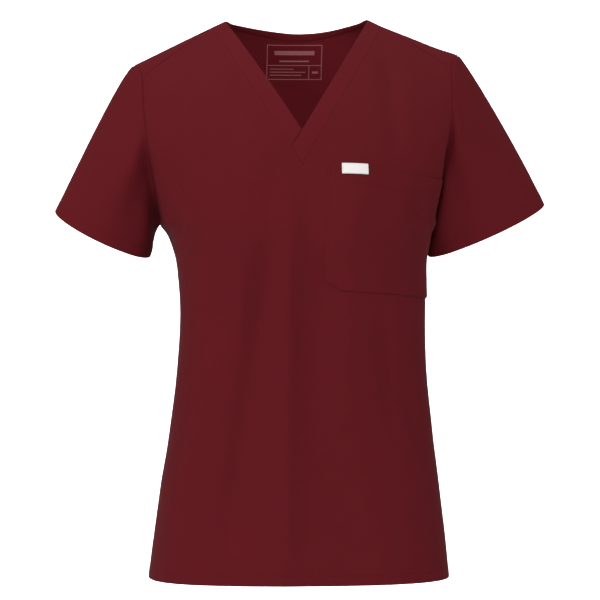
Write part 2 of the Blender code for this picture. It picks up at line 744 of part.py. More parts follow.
def build():
    """Builds every piece of the garment."""
    for old in list(bpy.data.objects):
        bpy.data.objects.remove(old)
    collection = bpy.data.collections.new("scrub_top")
    bpy.context.scene.collection.children.link(collection)

    front = front_shell()
    pocket = pocket_shell(front)
    tab = tab_shell(pocket)
    cloth_object("front_panel", front, PANEL_WALL, BURGUNDY, collection)
    cloth_object("back_panel", back_shell(), PANEL_WALL, BURGUNDY, collection)
    cloth_object("back_neck_tape", neck_tape_shell(), TAPE_WALL, BURGUNDY, collection)
    cloth_object("neckband_right", neckband_shell(-1.0), BAND_WALL, BURGUNDY, collection)
    cloth_object("neckband_left", neckband_shell(1.0), BAND_WALL, BURGUNDY, collection)
    cloth_object("sleeve_right", sleeve_shell(SLEEVES["right"]), PANEL_WALL, BURGUNDY, collection)
    cloth_object("sleeve_left", sleeve_shell(SLEEVES["left"]), PANEL_WALL, BURGUNDY, collection)
    cloth_object("chest_pocket", pocket, POCKET_WALL, BURGUNDY, collection)
    cloth_object("pocket_tab", tab, TAB_WALL, OFF_WHITE, collection)


build()
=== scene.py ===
"""The looks of a woman's short-sleeved V-neck tunic top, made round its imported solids.

The garment faces -Y, its wearer's left side is +X and +Z is up. The shape is worked out in millimetres and
turned into metres where vertices are placed. The body is one closed surface, found by how far across it
(0 at centre front or back, 1 at the side seam or armhole) and how far along the cloth (0 at the front hem,
up over the shoulder ridge and down to the back hem) a point lies.
"""

import math

import bmesh
import bpy
import numpy as np
from bpy.props import FloatProperty, FloatVectorProperty, PointerProperty
from mathutils import Matrix, Vector
from mathutils.kdtree import KDTree


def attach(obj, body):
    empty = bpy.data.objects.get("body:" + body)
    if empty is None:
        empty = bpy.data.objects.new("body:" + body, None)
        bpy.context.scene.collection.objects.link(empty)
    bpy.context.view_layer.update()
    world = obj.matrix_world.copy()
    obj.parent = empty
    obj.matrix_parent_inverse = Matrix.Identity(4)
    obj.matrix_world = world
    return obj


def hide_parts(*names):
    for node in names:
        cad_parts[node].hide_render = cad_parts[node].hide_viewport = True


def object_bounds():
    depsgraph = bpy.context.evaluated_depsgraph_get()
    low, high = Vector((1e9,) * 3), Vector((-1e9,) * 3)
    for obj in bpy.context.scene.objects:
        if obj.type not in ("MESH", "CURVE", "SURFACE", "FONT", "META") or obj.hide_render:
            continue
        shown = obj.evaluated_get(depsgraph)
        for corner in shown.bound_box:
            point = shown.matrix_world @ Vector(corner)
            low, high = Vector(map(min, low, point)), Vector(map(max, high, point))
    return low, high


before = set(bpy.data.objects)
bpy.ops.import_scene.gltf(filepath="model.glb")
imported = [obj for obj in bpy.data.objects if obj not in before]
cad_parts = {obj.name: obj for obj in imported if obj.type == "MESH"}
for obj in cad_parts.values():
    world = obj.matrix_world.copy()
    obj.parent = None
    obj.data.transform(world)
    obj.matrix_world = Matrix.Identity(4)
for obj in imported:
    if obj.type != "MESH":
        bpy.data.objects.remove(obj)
CAD_BOX = [list(corner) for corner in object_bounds()]

bl_info = {
    "name": "Tunic Top",
    "version": (1, 0, 0),
    "blender": (4, 5, 0),
    "location": "View3D > Sidebar > Tunic Top",
    "description": "Models a short-sleeved V-neck tunic top with its folds, hems, seams and stitching",
    "category": "Add Mesh",
}

MM = 0.001
SIDES = (-1.0, 1.0)

# Shoulders and neckline, as in the solids
SIDE_SPREAD = 185.0
NECK_HALF_WIDTH = 82.0
SHOULDER_SLOPE = 0.4525
SLOPE_DIFFERENCE = 0.0345
SLOPE_BLEND = 40.0
SHOULDER_TILT = 0.018
LEFT_SHOULDER_DROP = 1.7
# How far out the left shoulder's drop sets in, and how far out it dies away again
DROP_START = (76.0, 102.0)
DROP_END = (158.0, 186.0)
NAPE_ROUNDING = 30.0
SEAM_FORWARD_AT_NECK = 8.0
SEAM_FORWARD_AT_TIP = 40.0
V_DEPTH = 131.0
BAND_DROP = 39.0
BAND_TOP_HALF_WIDTH = 97.5
BACK_NECK_DEPTH = 61.0
RIGHT_NECK_ROUNDNESS = 1.8
LEFT_NECK_ROUNDNESS = 1.87
TAPE_WIDTH = 6.0

# Level sections from hem to armpit, shared by the front and the back.
# height, centre, half width, front depth, back depth, roundness
LOWER_ROWS = (
    (-636.0, 2.4, 172.0, 125.0, 123.0, 2.7),
    (-607.0, 2.9, 169.0, 124.0, 122.0, 2.7),
    (-538.0, 4.0, 160.0, 119.0, 115.0, 2.7),
    (-470.0, 5.2, 150.7, 113.0, 104.0, 2.7),
    (-400.0, 6.3, 142.6, 109.0, 95.0, 2.65),
    (-331.0, 7.2, 140.3, 112.0, 91.0, 2.6),
    (-300.0, 6.4, 141.8, 118.0, 92.0, 2.55),
    (-272.0, 5.0, 144.0, 124.0, 94.0, 2.5),
    (-254.0, 4.0, 148.5, 127.5, 96.0, 2.5),
    (-243.0, 2.4, 152.0, 128.5, 97.0, 2.55),
    (-234.0, 1.0, 157.5, 129.0, 98.0, 2.6),
)

# Sections between armpit and shoulder ridge, from the armpit up. Slope share tells how far a row follows
# the slope of the shoulder; edge depth and turn are where the armhole's edge lies and how far the cloth
# has turned to the side there.
# height, slope share, half width, depth, edge depth, roundness, turn in degrees
UPPER_FRONT_ROWS = (
    (-224.0, 0.00, 158.0, 128.5, 22.0, 2.6, 82.0),
    (-207.0, 0.00, 161.0, 127.0, 41.0, 2.7, 72.0),
    (-185.0, 0.04, 165.0, 123.0, 53.0, 2.7, 64.0),
    (-155.0, 0.14, 169.0, 115.0, 60.0, 2.7, 58.0),
    (-125.0, 0.30, 172.0, 104.0, 60.0, 2.7, 55.0),
    (-95.0, 0.50, 174.0, 89.0, 54.0, 2.8, 53.0),
    (-68.0, 0.72, 175.5, 71.0, 46.0, 2.9, 51.0),
    (-45.0, 0.88, 176.0, 53.0, 39.0, 3.0, 50.0),
    (-28.0, 0.96, 176.5, 38.5, 32.0, 3.0, 50.0),
    (-14.5, 1.00, 178.0, 26.0, 24.5, 3.0, 50.0),
    (-6.0, 1.00, 182.0, 17.5, 17.0, 3.0, 50.0),
    (-1.5, 1.00, 185.5, 9.0, 8.8, 3.0, 50.0),
)
RIDGE_ROW = (0.0, 1.00, 187.0, 0.0, 0.0, 3.0, 50.0)
UPPER_BACK_ROWS = (
    (-224.0, 0.00, 158.0, 98.5, 22.0, 2.6, 82.0),
    (-207.0, 0.00, 161.0, 99.0, 41.0, 2.7, 72.0),
    (-185.0, 0.04, 165.0, 99.5, 53.0, 2.7, 64.0),
    (-155.0, 0.16, 169.0, 98.5, 61.0, 2.7, 58.0),
    (-115.0, 0.38, 172.0, 94.0, 62.5, 2.7, 55.0),
    (-80.0, 0.60, 174.0, 86.0, 59.0, 2.6, 53.0),
    (-52.0, 0.78, 175.0, 74.5, 52.0, 2.5, 51.0),
    (-31.0, 0.90, 176.0, 60.0, 43.0, 2.4, 50.0),
    (-16.5, 0.97, 177.5, 43.0, 34.0, 2.6, 50.0),
    (-8.5, 1.00, 179.5, 28.5, 25.0, 2.8, 50.0),
    (-4.5, 1.00, 182.5, 18.0, 17.0, 3.0, 50.0),
    (-1.2, 1.00, 185.5, 9.0, 8.8, 3.0, 50.0),
)

# Soft folds of the cloth: a ridge lifts and a trough sinks along a line seen from the front or back. The
# first eighteen, all but the ridge that starts at x -104, are in the solids as well, some with another
# lift. The others are finer.
# face, x and z where it starts, x and z where it ends, half width, lift
FOLDS = (
    ("front", -16.0, -175.0, -19.0, -665.0, 15.0, 9.5),
    ("front", 5.0, -180.0, 5.0, -440.0, 10.0, -1.2),
    ("front", -30.0, -210.0, -92.0, -665.0, 18.0, -8.0),
    ("front", -136.0, -490.0, -146.0, -665.0, 16.0, 4.0),
    ("front", 110.0, -398.0, 148.0, -505.0, 11.0, -3.0),
    ("front", -104.0, -235.0, -132.0, -665.0, 22.0, 5.0),
    ("front", 0.0, -450.0, 2.0, -665.0, 30.0, 2.5),
    ("front", -152.0, -150.0, -134.0, -268.0, 14.0, -4.5),
    ("front", -108.0, -60.0, -104.0, -170.0, 18.0, 3.0),
    ("front", 134.0, -172.0, 131.0, -268.0, 10.0, -2.5),
    ("front", 100.0, -40.0, 106.0, -172.0, 12.0, -2.2),
    ("front", 56.0, -140.0, 54.0, -450.0, 28.0, 8.0),
    ("back", 60.0, -230.0, 82.0, -640.0, 22.0, 2.4),
    ("back", 22.0, -330.0, 18.0, -640.0, 20.0, -2.4),
    ("back", -64.0, -250.0, -70.0, -640.0, 24.0, 2.2),
    ("back", -112.0, -380.0, -128.0, -640.0, 20.0, -2.0),
    ("back", 128.0, -175.0, 118.0, -270.0, 14.0, -2.4),
    ("back", -128.0, -175.0, -120.0, -262.0, 14.0, -2.4),
    ("front", -77.0, -56.0, -72.0, -128.0, 7.0, -2.2),
    ("front", -147.0, -178.0, -120.0, -236.0, 6.0, -1.5),
    ("front", -150.0, -208.0, -104.0, -262.0, 8.0, 1.2),
    ("front", 150.0, -200.0, 116.0, -248.0, 7.0, -1.0),
    ("front", 92.0, -335.0, 106.0, -495.0, 11.0, -2.2),
    ("back", -40.0, -60.0, -100.0, -150.0, 16.0, -1.0),
    ("back", 36.0, -58.0, 104.0, -160.0, 18.0, -1.1),
    ("back", 100.0, -330.0, 130.0, -460.0, 14.0, -1.2),
    ("back", -96.0, -300.0, -134.0, -420.0, 15.0, -1.0),
    ("back", 4.0, -180.0, -12.0, -420.0, 20.0, 0.9),
)
# Where the front tucks in beside an armhole: side, heights of its ends, how far from the armhole it starts,
# how far back it goes and how far inwards
TUCKS = (
    (1.0, -112.0, -250.0, 15.0, 13.0, 4.0),
    (-1.0, -130.0, -250.0, 26.0, 11.0, 0.0),
)
# Over how much height a tuck sets in above the armpit, at its lower end and at its upper end
TUCK_FADES = (14.0, 30.0, 50.0)
# How much of a fold's length each end takes to rise, at least how much, how softly it does, and how near the
# side seam the folds die out
FOLD_END = 0.13
SHORTEST_END = 14.0
FOLD_END_SOFTNESS = 0.4
FOLD_SIDE_FADE = 0.12

# Sleeves: cuff centre, cuff's outer corner, half depth of the cuff, droop of its front edge, how far the
# cloth pushes out past the shoulder, and how far it puffs forwards and backwards. The right one is as in
# the solids. The left one's cuff lies further forward and is deeper than there, and its front is fuller.
SLEEVES = {
    "right": {
        "side": -1.0,
        "cuff": (-222.0, -6.0, -244.5),
        "outer_corner": (-276.0, -6.0, -218.5),
        "half_depth": 42.0,
        "droop": 11.0,
        "shoulder_push": 42.0,
        "front_puff": 20.0,
        "back_puff": 16.0,
    },
    "left": {
        "side": 1.0,
        "cuff": (220.5, 4.0, -239.5),
        "outer_corner": (287.5, 4.0, -209.0),
        "half_depth": 37.0,
        "droop": 8.0,
        "shoulder_push": 22.0,
        "front_puff": 10.0,
        "back_puff": 30.0,
    },
}
# Valley beside the armhole seam: angles round the sleeve where it starts and ends, depth and width
VALLEYS = {"right": (66.0, 176.0, 1.2, 5.0), "left": (58.0, 178.0, 5.0, 3.0)}
# Over how many degrees a valley sets in and dies out
VALLEY_FADES = (25.0, 12.0)
# How far from the seam a sleeve's cloth turns from the body's direction to its own
SLEEVE_TURN_REACH = 2.5
ARMPIT_PUSH = 16.0
CAP_CROWDING = 0.3

# Folds of a sleeve: how far round and how far along it starts, how far round and how far along it ends, half
# width, lift. Round is in degrees, 0 at the shoulder and 90 in front; along is 0 at the armhole and 1 at the
# cuff.
SLEEVE_FOLDS = (
    (52.0, 0.05, 66.0, 0.55, 13.0, -1.2),
    (96.0, 0.10, 84.0, 0.80, 12.0, 1.2),
    (120.0, 0.12, 106.0, 0.75, 10.0, -0.8),
    (142.0, 0.15, 134.0, 1.20, 15.0, 4.0),
    (300.0, 0.05, 290.0, 0.60, 13.0, -1.2),
    (262.0, 0.15, 272.0, 0.85, 12.0, 1.2),
    (230.0, 0.15, 246.0, 0.80, 10.0, -1.5),
)

# How much of a sleeve fold's length each end takes to rise, and how softly it does
SLEEVE_FOLD_END = 0.2
SLEEVE_FOLD_SOFTNESS = 0.08

# Chest pocket and woven tab, seen from the front
POCKET_TOP_CORNER = (27.7, -166.5)
POCKET_TOP_AT_SIDE = -184.6
POCKET_LOWER_CORNER = (22.4, -297.0)
POCKET_CLIPPED_CORNER = (45.0, -309.0)
POCKET_BOTTOM_AT_SIDE = -317.0
POCKET_CLIP_SHARE = 0.84
POCKET_WIDTH = 130.0
POCKET_HEIGHT = 132.0
POCKET_SPACING = 2.4
# How far the pocket's lower edge bulges out, what share of that it does at its free side, how far from the
# lower edge the bulge sets in and dies out, and how far from the side seam it starts and is full
POCKET_BULGE = 4.5
BULGE_AT_FREE_SIDE = 0.25
BULGE_RANGE = (2.2, 20.0)
BULGE_FROM_SEAM = (10.0, 55.0)
# How far the lower edge sags over its seam, what share of that it does at its free side, how far above the
# edge it sags most and over what height, and how far from the side seam it starts and is full
POCKET_SAG = 3.4
SAG_AT_FREE_SIDE = 0.3
SAG_RANGE = (3.6, 3.2)
SAG_FROM_SEAM = (4.0, 20.0)
# Turned-in allowance behind the sewn edges: its reach, how much it lifts the face, how softly it ends
POCKET_TURNED_IN = (8.0, 0.06, 0.5)
# Grooves of the rows of stitching: distance from a sewn edge or from the mouth, depth, width
POCKET_GROOVE = (2.2, 0.05, 0.5)
POCKET_MOUTH_GROOVE = (21.0, 0.1, 0.6)
# Rolls at the sewn edges, at the mouth and beside the side seam: depth and reach. The mouth's groove stops
# short of the side seam.
POCKET_EDGE_ROLL = (0.55, 1.6)
POCKET_MOUTH_ROLL = (0.12, 1.2)
POCKET_SEAM_ROLL = (0.6, 4.0)
MOUTH_GROOVE_FROM_SEAM = 3.0
# Where across the mouth it stands open and how wide, how far it does there and elsewhere, how full the gape
# is between its ends, how much deeper its edge rolls where it stands open, and how far down the gape reaches
POCKET_OPEN_AT = (0.86, 0.08)
POCKET_GAPE = (1.6, 0.05)
POCKET_GAPE_FULLNESS = 0.7
POCKET_OPEN_ROLL = 0.4
POCKET_GAPE_REACH = 14.0
# Height and reach of the waves beside its seams
POCKET_PUCKER = (0.8, 8.0)
# A point in the middle of the pocket, which its stitching is set in towards, and levels of that stitching
# above the pocket's face: along the edges, below the mouth, and in the bar at the mouth's end
POCKET_MIDDLE = (87.7, -240.0)
POCKET_STITCH_LEVELS = (0.1, 0.15, 1.0)
# The bar's two ends, across and up from the pocket's top corner, and how short its stitches are
BAR_ENDS = ((2.2, -1.5), (1.9, -17.0))
BAR_STITCH_SHARE = 0.5
TAB_CORNERS = ((42.9, -169.6), (72.0, -181.6))
TAB_SLANT = 0.6
TAB_ROUNDING = 0.9
TAB_SPACING = 0.7
TAB_THICKNESS = 0.0007
# Roll at the tab's edge: depth and reach. Its raised border and the groove inside that: distance from the
# edge, height or depth, width. How far its top edge lifts and how far down that reaches.
TAB_ROLL = (0.55, 0.5)
TAB_BORDER = (0.9, 0.12, 0.5)
TAB_GROOVE = (2.0, 0.1, 0.3)
TAB_LIFT = (0.3, 5.0)
# Rows of stitches at the tab's ends: how far in from its ends, its top and its bottom, how short they are
TAB_STITCHES = (1.5, 1.4, 1.0)
TAB_STITCH_SHARE = 0.55

# Where a seam or hem needs closer rows or columns: distances from the seam or hem, in millimetres. In a short
# row they are squeezed to a share of its length.
CLOSE_STEPS_SHARE = 0.4
SEAM_STEPS = (0.0, 0.4, 0.9, 1.5, 2.3, 3.2, 4.6)
TURNED_IN_STEPS = (6.0, 7.2, 8.4)
MOUTH_STEPS = (0.0, 0.3, 0.8, 1.5, 2.4, 3.6)
TAB_STEPS = (0.0, 0.15, 0.4, 0.8, 1.3, 1.8)
SHOULDER_STEPS = {
    "front": SEAM_STEPS,
    "back": (0.0, 0.4, 0.9, 1.5, 2.1, 2.6, 3.0, 3.4, 4.0, 5.2),
}
# A folded edge, from inside the hem round its fold and out: distance from the fold, and how far out of the
# cloth's own level it lies, both for a hem 12.5 wide.
FOLDED_EDGE = (
    (12.5, -0.98), (11.6, -1.02), (8.0, -1.0), (4.0, -0.98), (1.6, -0.95), (0.6, -0.85), (0.15, -0.62),
    (0.0, -0.3), (0.15, 0.02), (0.6, 0.24), (1.6, 0.34), (4.0, 0.32), (6.5, 0.32), (9.0, 0.3),
    (10.4, 0.22), (11.1, 0.05), (11.5, -0.08), (11.9, 0.0), (12.6, 0.1), (13.6, 0.03), (15.5, 0.0),
)
FOLDED_EDGE_WIDTH = 12.5
# Where a hem's stitching lies: distance from the fold, and its row in the folded edge
STITCH_IN_HEM = 11.5
STITCH_ROW = 16
# At which share of the height above the armpit a half panel's inner edge leaves the middle for the neckline
UPPER_INNER_SHARE = {"front": 0.23, "back": 0.6}
# The width that the columns of half a panel are counted by
PANEL_SPREAD = 225.0
# How much of the front's dip at the neckband's seam is taken back, depth and reach of the roll at the back
# neckline, and the groove along the topstitching behind a shoulder seam: distance, depth and width
NECK_DIP_BACK = 0.8
BACK_NECK_ROLL = (0.9, 1.4)
SHOULDER_GROOVE = (3.0, 0.28, 0.45)
# How many millimetres the waves along a seam shift from the middle of a piece to its side
PANEL_WAVE_SHIFT = 40.0
POCKET_WAVE_SHIFT = 150.0
# The back neck tape from the neckline outwards: distance from the edge and level
TAPE_EDGE = (
    (0.0, -0.35), (0.25, -0.95), (0.8, -1.3), (1.6, -1.4), (3.0, -1.42), (4.3, -1.4), (5.0, -1.3),
    (5.6, -1.25), (6.0, -0.95),
)
TAPE_THICKNESS = 0.0003
TAPE_STITCH = 5.0
# Levels of the middle of the stitches, from the cloth's own level; those of the sleeves from its face
HEM_STITCH_LEVEL = 0.02
SHOULDER_STITCH_LEVEL = -0.2
TAPE_STITCH_LEVEL = 0.03
SLEEVE_STITCH_LEVEL = 0.08
# A neckband's inner level, and how many of its columns lie outside
BAND_INSIDE = -1.35
BAND_OUTSIDE_COLUMNS = 14
# Above which level a band's ends dip into their seams, how far its waves reach and where they start
BAND_DIP_ABOVE = -0.3
BAND_PUCKER_REACH = 6.0
BAND_PUCKER_START = 1.0

# Waves of cloth that a seam draws together: height, length, and shift from one seam to the next
RIPPLES = ((0.5, 2.9, 1.7), (0.35, 4.7, 0.6), (0.3, 8.3, 2.9))
# How far the waves reach from a seam or hem of the body and from a sleeve's seam, how near the seam they
# start, and how many times as high they are along a hem
PUCKER_REACH = 7.0
SLEEVE_PUCKER_REACH = 9.0
PUCKER_START = 0.3
HEM_PUCKER = 1.2

# Seam allowances inside: distances from the seam, and how far below the cloth they lie
ALLOWANCE = (-1.4, 0.0, 2.4, 5.0, 9.5)
ARMHOLE_ALLOWANCE = (0.0, 1.2, 2.4, 5.0, 9.5)
NECK_ALLOWANCE = (0.0, 1.0, 2.4, 5.0, 8.5)
ALLOWANCE_BELOW = 0.12
ALLOWANCE_THICKNESS = 0.0005

# Searching for places: halvings of a range, passes for the neckband's end, how far below the armpit and how
# far before and behind the ridge it looks, the widest share of a section, samples of a row or line, and the
# spacing of a line that distances are measured from
HALVINGS = 40
SEAM_PASSES = 8
LOOK_BELOW_ARMPIT = 120.0
BACK_NECK_RANGE = (-60.0, 160.0)
WIDEST_SHARE = 0.9999
ROW_SAMPLES = 81
LINE_SAMPLES = 60
SEARCH_SPACING = 0.15
JOIN_DISTANCE = 0.01


# The body's surface

def body_table():
    """Rows along the cloth: height, slope share, centre, half width, depth, edge depth, roundness, turn."""
    def lower(row, sign):
        height, centre, half, front, back, roundness = row
        depth = front if sign < 0 else back
        return (height, 0.0, centre, half, sign * depth, 0.0, roundness, 90.0)

    def upper(row, sign):
        height, share, half, depth, edge, roundness, turn = row
        return (height, share, 0.0, half, sign * depth, sign * edge, roundness, turn)

    front = [lower(row, -1.0) for row in LOWER_ROWS]
    front += [upper(row, -1.0) for row in UPPER_FRONT_ROWS]
    back = [lower(row, 1.0) for row in LOWER_ROWS]
    back += [upper(row, 1.0) for row in UPPER_BACK_ROWS]
    return np.array(front + [upper(RIDGE_ROW, 1.0)] + back[::-1])


def table_runs(table):
    """Distance along the cloth of each row, from the front hem over the ridge to the back hem."""
    runs = [0.0]
    for first, second in zip(table[:-1], table[1:]):
        rise = second[0] - first[0]
        reach = second[4] - first[4]
        level = first[7] == 90.0 and second[7] == 90.0
        runs.append(runs[-1] + (abs(rise) if level else math.hypot(rise, reach)))
    return np.array(runs)


TABLE = body_table()
RUNS = table_runs(TABLE)
SLOPES = np.gradient(TABLE, RUNS, axis=0)
ARMPIT_ROW = len(LOWER_ROWS) - 1
RIDGE_INDEX = ARMPIT_ROW + len(UPPER_FRONT_ROWS) + 1
RUN_ARMPIT = RUNS[ARMPIT_ROW]
RUN_RIDGE = RUNS[RIDGE_INDEX]
RUN_END = RUNS[-1]
RUN_BACK_ARMPIT = RUN_END - RUN_ARMPIT


def body_rows(run):
    """The table's columns at distances along the cloth, on a smooth curve through its rows."""
    index = np.clip(np.searchsorted(RUNS, run) - 1, 0, len(RUNS) - 2)
    span = RUNS[index + 1] - RUNS[index]
    t = ((run - RUNS[index]) / span)[:, None]
    span = span[:, None]
    rows = (2 * t**3 - 3 * t**2 + 1) * TABLE[index]
    rows += (3 * t**2 - 2 * t**3) * TABLE[index + 1]
    rows += (t**3 - 2 * t**2 + t) * span * SLOPES[index]
    rows += (t**3 - t**2) * span * SLOPES[index + 1]
    return rows.T


def rounded(angle, roundness):
    """Across and forward parts of a rounded-square quarter section, angle 0 straight ahead."""
    across = np.sin(angle)
    ahead = np.cos(angle)
    reach = (np.abs(across) ** roundness + np.abs(ahead) ** roundness) ** (1.0 / roundness)
    return across / reach, ahead / reach


def smooth_step(value, low, high):
    """0 below a range and 1 above it, with a smooth rise between."""
    share = np.clip((value - low) / (high - low), 0.0, 1.0)
    return share * share * (3.0 - 2.0 * share)


def rising(value, softness):
    """From 0 to 1, through a half where the value is 0."""
    return 1.0 / (1.0 + np.exp(-value / softness))


def falling(distance, reach):
    """1 at a line and 0 beyond a reach, steepest at the line."""
    return np.clip(1.0 - distance / reach, 0.0, 1.0) ** 2


def bell(value, width):
    """1 where the value is 0, dying away on both sides."""
    return np.exp(-((value / width) ** 2))


def smooth_body(across, run):
    """Points of the body before its folds."""
    height, share, centre, half, depth, edge, roundness, turn = body_rows(run)
    out, ahead = rounded(np.radians(turn) * np.abs(across), roundness)
    out_end, ahead_end = rounded(np.radians(turn), roundness)
    x = centre + np.sign(across) * half * out / out_end
    y = edge + (depth - edge) * (ahead - ahead_end) / (1.0 - ahead_end)
    slope = SHOULDER_SLOPE - SLOPE_DIFFERENCE * np.tanh(x / SLOPE_BLEND)
    fall = np.hypot(x, NAPE_ROUNDING) - math.hypot(NECK_HALF_WIDTH, NAPE_ROUNDING)
    drop = LEFT_SHOULDER_DROP * smooth_step(x, *DROP_START) * (1.0 - smooth_step(x, *DROP_END))
    z = height - share * (slope * fall - SHOULDER_TILT * (x + NECK_HALF_WIDTH) + drop)
    return np.stack([x, y, z], axis=1)


def outward(across, run, surface=smooth_body, step=0.5):
    """Unit normals of the body, pointing away from the wearer."""
    shift = 0.002
    along = surface(across, run + step) - surface(across, run - step)
    sideways = surface(across + shift, run) - surface(across - shift, run)
    normal = np.cross(sideways, along)
    return normal / np.linalg.norm(normal, axis=1)[:, None]


def fold_lift(points, on_front):
    """How far the folds lift the cloth at points of the body."""
    lift = np.zeros(len(points))
    for face, x0, z0, x1, z1, half_width, height in FOLDS:
        start = np.array([x0, z0])
        line = np.array([x1, z1]) - start
        length = np.linalg.norm(line)
        offset = points[:, [0, 2]] - start
        along = offset @ line / length
        beside = (offset[:, 0] * line[1] - offset[:, 1] * line[0]) / length
        end = max(FOLD_END * length, SHORTEST_END)
        soft = FOLD_END_SOFTNESS * end
        fade = rising(along - end, soft) * rising(length - end - along, soft)
        this_side = on_front if face == "front" else ~on_front
        lift += this_side * height * fade * bell(beside, half_width)
    return lift


def tucked(across, run, height):
    """How far the cloth tucks in beside the front of the armholes."""
    above_armpit, rise, fall = TUCK_FADES
    moved = np.zeros((len(across), 3))
    for side, top, bottom, reach, back, inwards in TUCKS:
        near = falling((1.0 - side * across) * SIDE_SPREAD, reach)
        near *= smooth_step(run, RUN_ARMPIT, RUN_ARMPIT + above_armpit) * (run < RUN_RIDGE)
        near *= smooth_step(height, bottom, bottom + rise) * (1.0 - smooth_step(height, top - fall, top))
        moved[:, 0] -= side * inwards * near
        moved[:, 1] += back * near
    return moved


def body_points(across, run, out=0.0):
    """Points of the draped body, moved out by a distance."""
    across = np.asarray(across, float)
    run = np.asarray(run, float)
    points = smooth_body(across, run)
    edge_fade = np.clip((1.0 - np.abs(across)) / FOLD_SIDE_FADE, 0.0, 1.0)
    lift = fold_lift(points, run < RUN_RIDGE) * edge_fade
    normals = outward(across, run)
    return points + tucked(across, run, points[:, 2]) + normals * (lift + out)[:, None]


def across_at(x, run):
    """Which part across the body lies at x, for distances along the cloth."""
    centre, half, roundness, turn = body_rows(run)[[2, 3, 6, 7]]
    out_end, _ = rounded(np.radians(turn), roundness)
    share = np.clip(np.abs(x - centre) / half * out_end, 0.0, WIDEST_SHARE)
    ahead = (1.0 - share**roundness) ** (1.0 / roundness)
    return np.sign(x - centre) * np.arctan2(share, ahead) / np.radians(turn)


def find_run(x, wanted, axis, low, high):
    """Distance along the cloth where the body at x reaches a wanted y (axis 1) or z (axis 2)."""
    low = np.full(len(x), low)
    high = np.full(len(x), high)
    for _ in range(HALVINGS):
        middle = (low + high) / 2.0
        short = smooth_body(across_at(x, middle), middle)[:, axis] < wanted
        low = np.where(short, middle, low)
        high = np.where(short, high, middle)
    return (low + high) / 2.0


def front_places(x, z):
    """Places on the body's front, (across, run), of points seen from the front."""
    run = find_run(x, z, 2, RUN_ARMPIT - LOOK_BELOW_ARMPIT, RUN_RIDGE)
    return np.stack([across_at(x, run), run], axis=1)


def seen_from_front(place):
    """x and z of a place on the body."""
    point = smooth_body(np.array([place[0]]), np.array([place[1]]))[0]
    return point[0], point[2]


def between(first, last, share):
    """Places between two, at shares of the way."""
    return np.asarray(first) + (np.asarray(last) - np.asarray(first)) * np.asarray(share)[:, None]


def shoulder_seam_run(across):
    """Distance along the cloth of the forward shoulder seam."""
    neck = neck_seam_place(1.0)[0]
    share = (np.abs(across) - neck) / (1.0 - neck)
    forward = SEAM_FORWARD_AT_NECK + (SEAM_FORWARD_AT_TIP - SEAM_FORWARD_AT_NECK) * share
    return RUN_RIDGE - forward


def neck_seam_place(side):
    """Where the forward shoulder seam meets the neck edge."""
    run = np.array([RUN_RIDGE - SEAM_FORWARD_AT_NECK])
    return np.array([across_at(np.array([side * NECK_HALF_WIDTH]), run)[0], run[0]])


def band_seam_place(side):
    """Where the forward shoulder seam meets the outer edge of the neckband."""
    run = RUN_RIDGE - SEAM_FORWARD_AT_NECK
    for _ in range(SEAM_PASSES):
        across = across_at(np.array([side * BAND_TOP_HALF_WIDTH]), np.array([run]))[0]
        run = shoulder_seam_run(across)
    return np.array([across, run])


def lap_share():
    """How far up the right band's outer edge the left band's inner edge meets it, past the V's point."""
    low = np.array(V_POINT)
    way = np.array(seen_from_front(band_seam_place(-1.0))) - low
    tip = np.array([0.0, -V_DEPTH])
    left = np.array(seen_from_front(neck_seam_place(1.0))) - tip
    return np.linalg.solve(np.stack([way, left], axis=1), tip - low)[0]


V_POINT = (0.0, -V_DEPTH - BAND_DROP)
SEAM_TIP_RUN = shoulder_seam_run(1.0)
LAP_SHARE = lap_share()


def seen_line(start, end, share):
    """Places along a line that is straight when seen from the front."""
    line = between(start, end, share)
    return front_places(line[:, 0], line[:, 1])


def v_edge(side, share):
    """Places on the seam between neckband and front, from the point of the V up to the shoulder seam."""
    top = band_seam_place(side)
    places = seen_line(V_POINT, seen_from_front(top), share)
    places[np.asarray(share) == 0.0, 0] = 0.0
    places[np.asarray(share) == 1.0] = top
    return places


def back_neckline(side, share, wider=0.0):
    """Places on one half of the back neckline from centre back to the shoulder seam."""
    reach = BACK_NECK_DEPTH + SEAM_FORWARD_AT_NECK
    angle = np.asarray(share) * math.pi / 2.0
    roundness = LEFT_NECK_ROUNDNESS if side > 0 else RIGHT_NECK_ROUNDNESS
    x = side * (NECK_HALF_WIDTH + wider) * np.sin(angle) ** (2.0 / roundness)
    ahead = np.maximum(np.cos(angle), 0.0) ** (2.0 / roundness)
    y = -SEAM_FORWARD_AT_NECK + (reach + wider) * ahead
    run = find_run(x, y, 1, RUN_RIDGE + BACK_NECK_RANGE[0], RUN_RIDGE + BACK_NECK_RANGE[1])
    places = np.stack([across_at(x, run), run], axis=1)
    places[np.asarray(share) == 0.0, 0] = 0.0
    last = np.asarray(share) == 1.0
    places[last, 1] = shoulder_seam_run(places[last, 0])
    return places


NECKLINES = {"front": v_edge, "back": back_neckline}


# Sampling lines and grids

def line_lengths(points):
    """Distance along lines of points, for each point of each line; lines run down the first axis."""
    steps = np.linalg.norm(np.diff(points, axis=0), axis=-1)
    return np.concatenate([np.zeros((1, *steps.shape[1:])), np.cumsum(steps, axis=0)])


def resampled(points, spacing):
    """Points spaced evenly along a line."""
    length = line_lengths(points)
    count = max(1, round(length[-1] / spacing))
    wanted = np.linspace(0.0, length[-1], count + 1)
    return np.stack([np.interp(wanted, length, points[:, axis]) for axis in range(3)], axis=1)


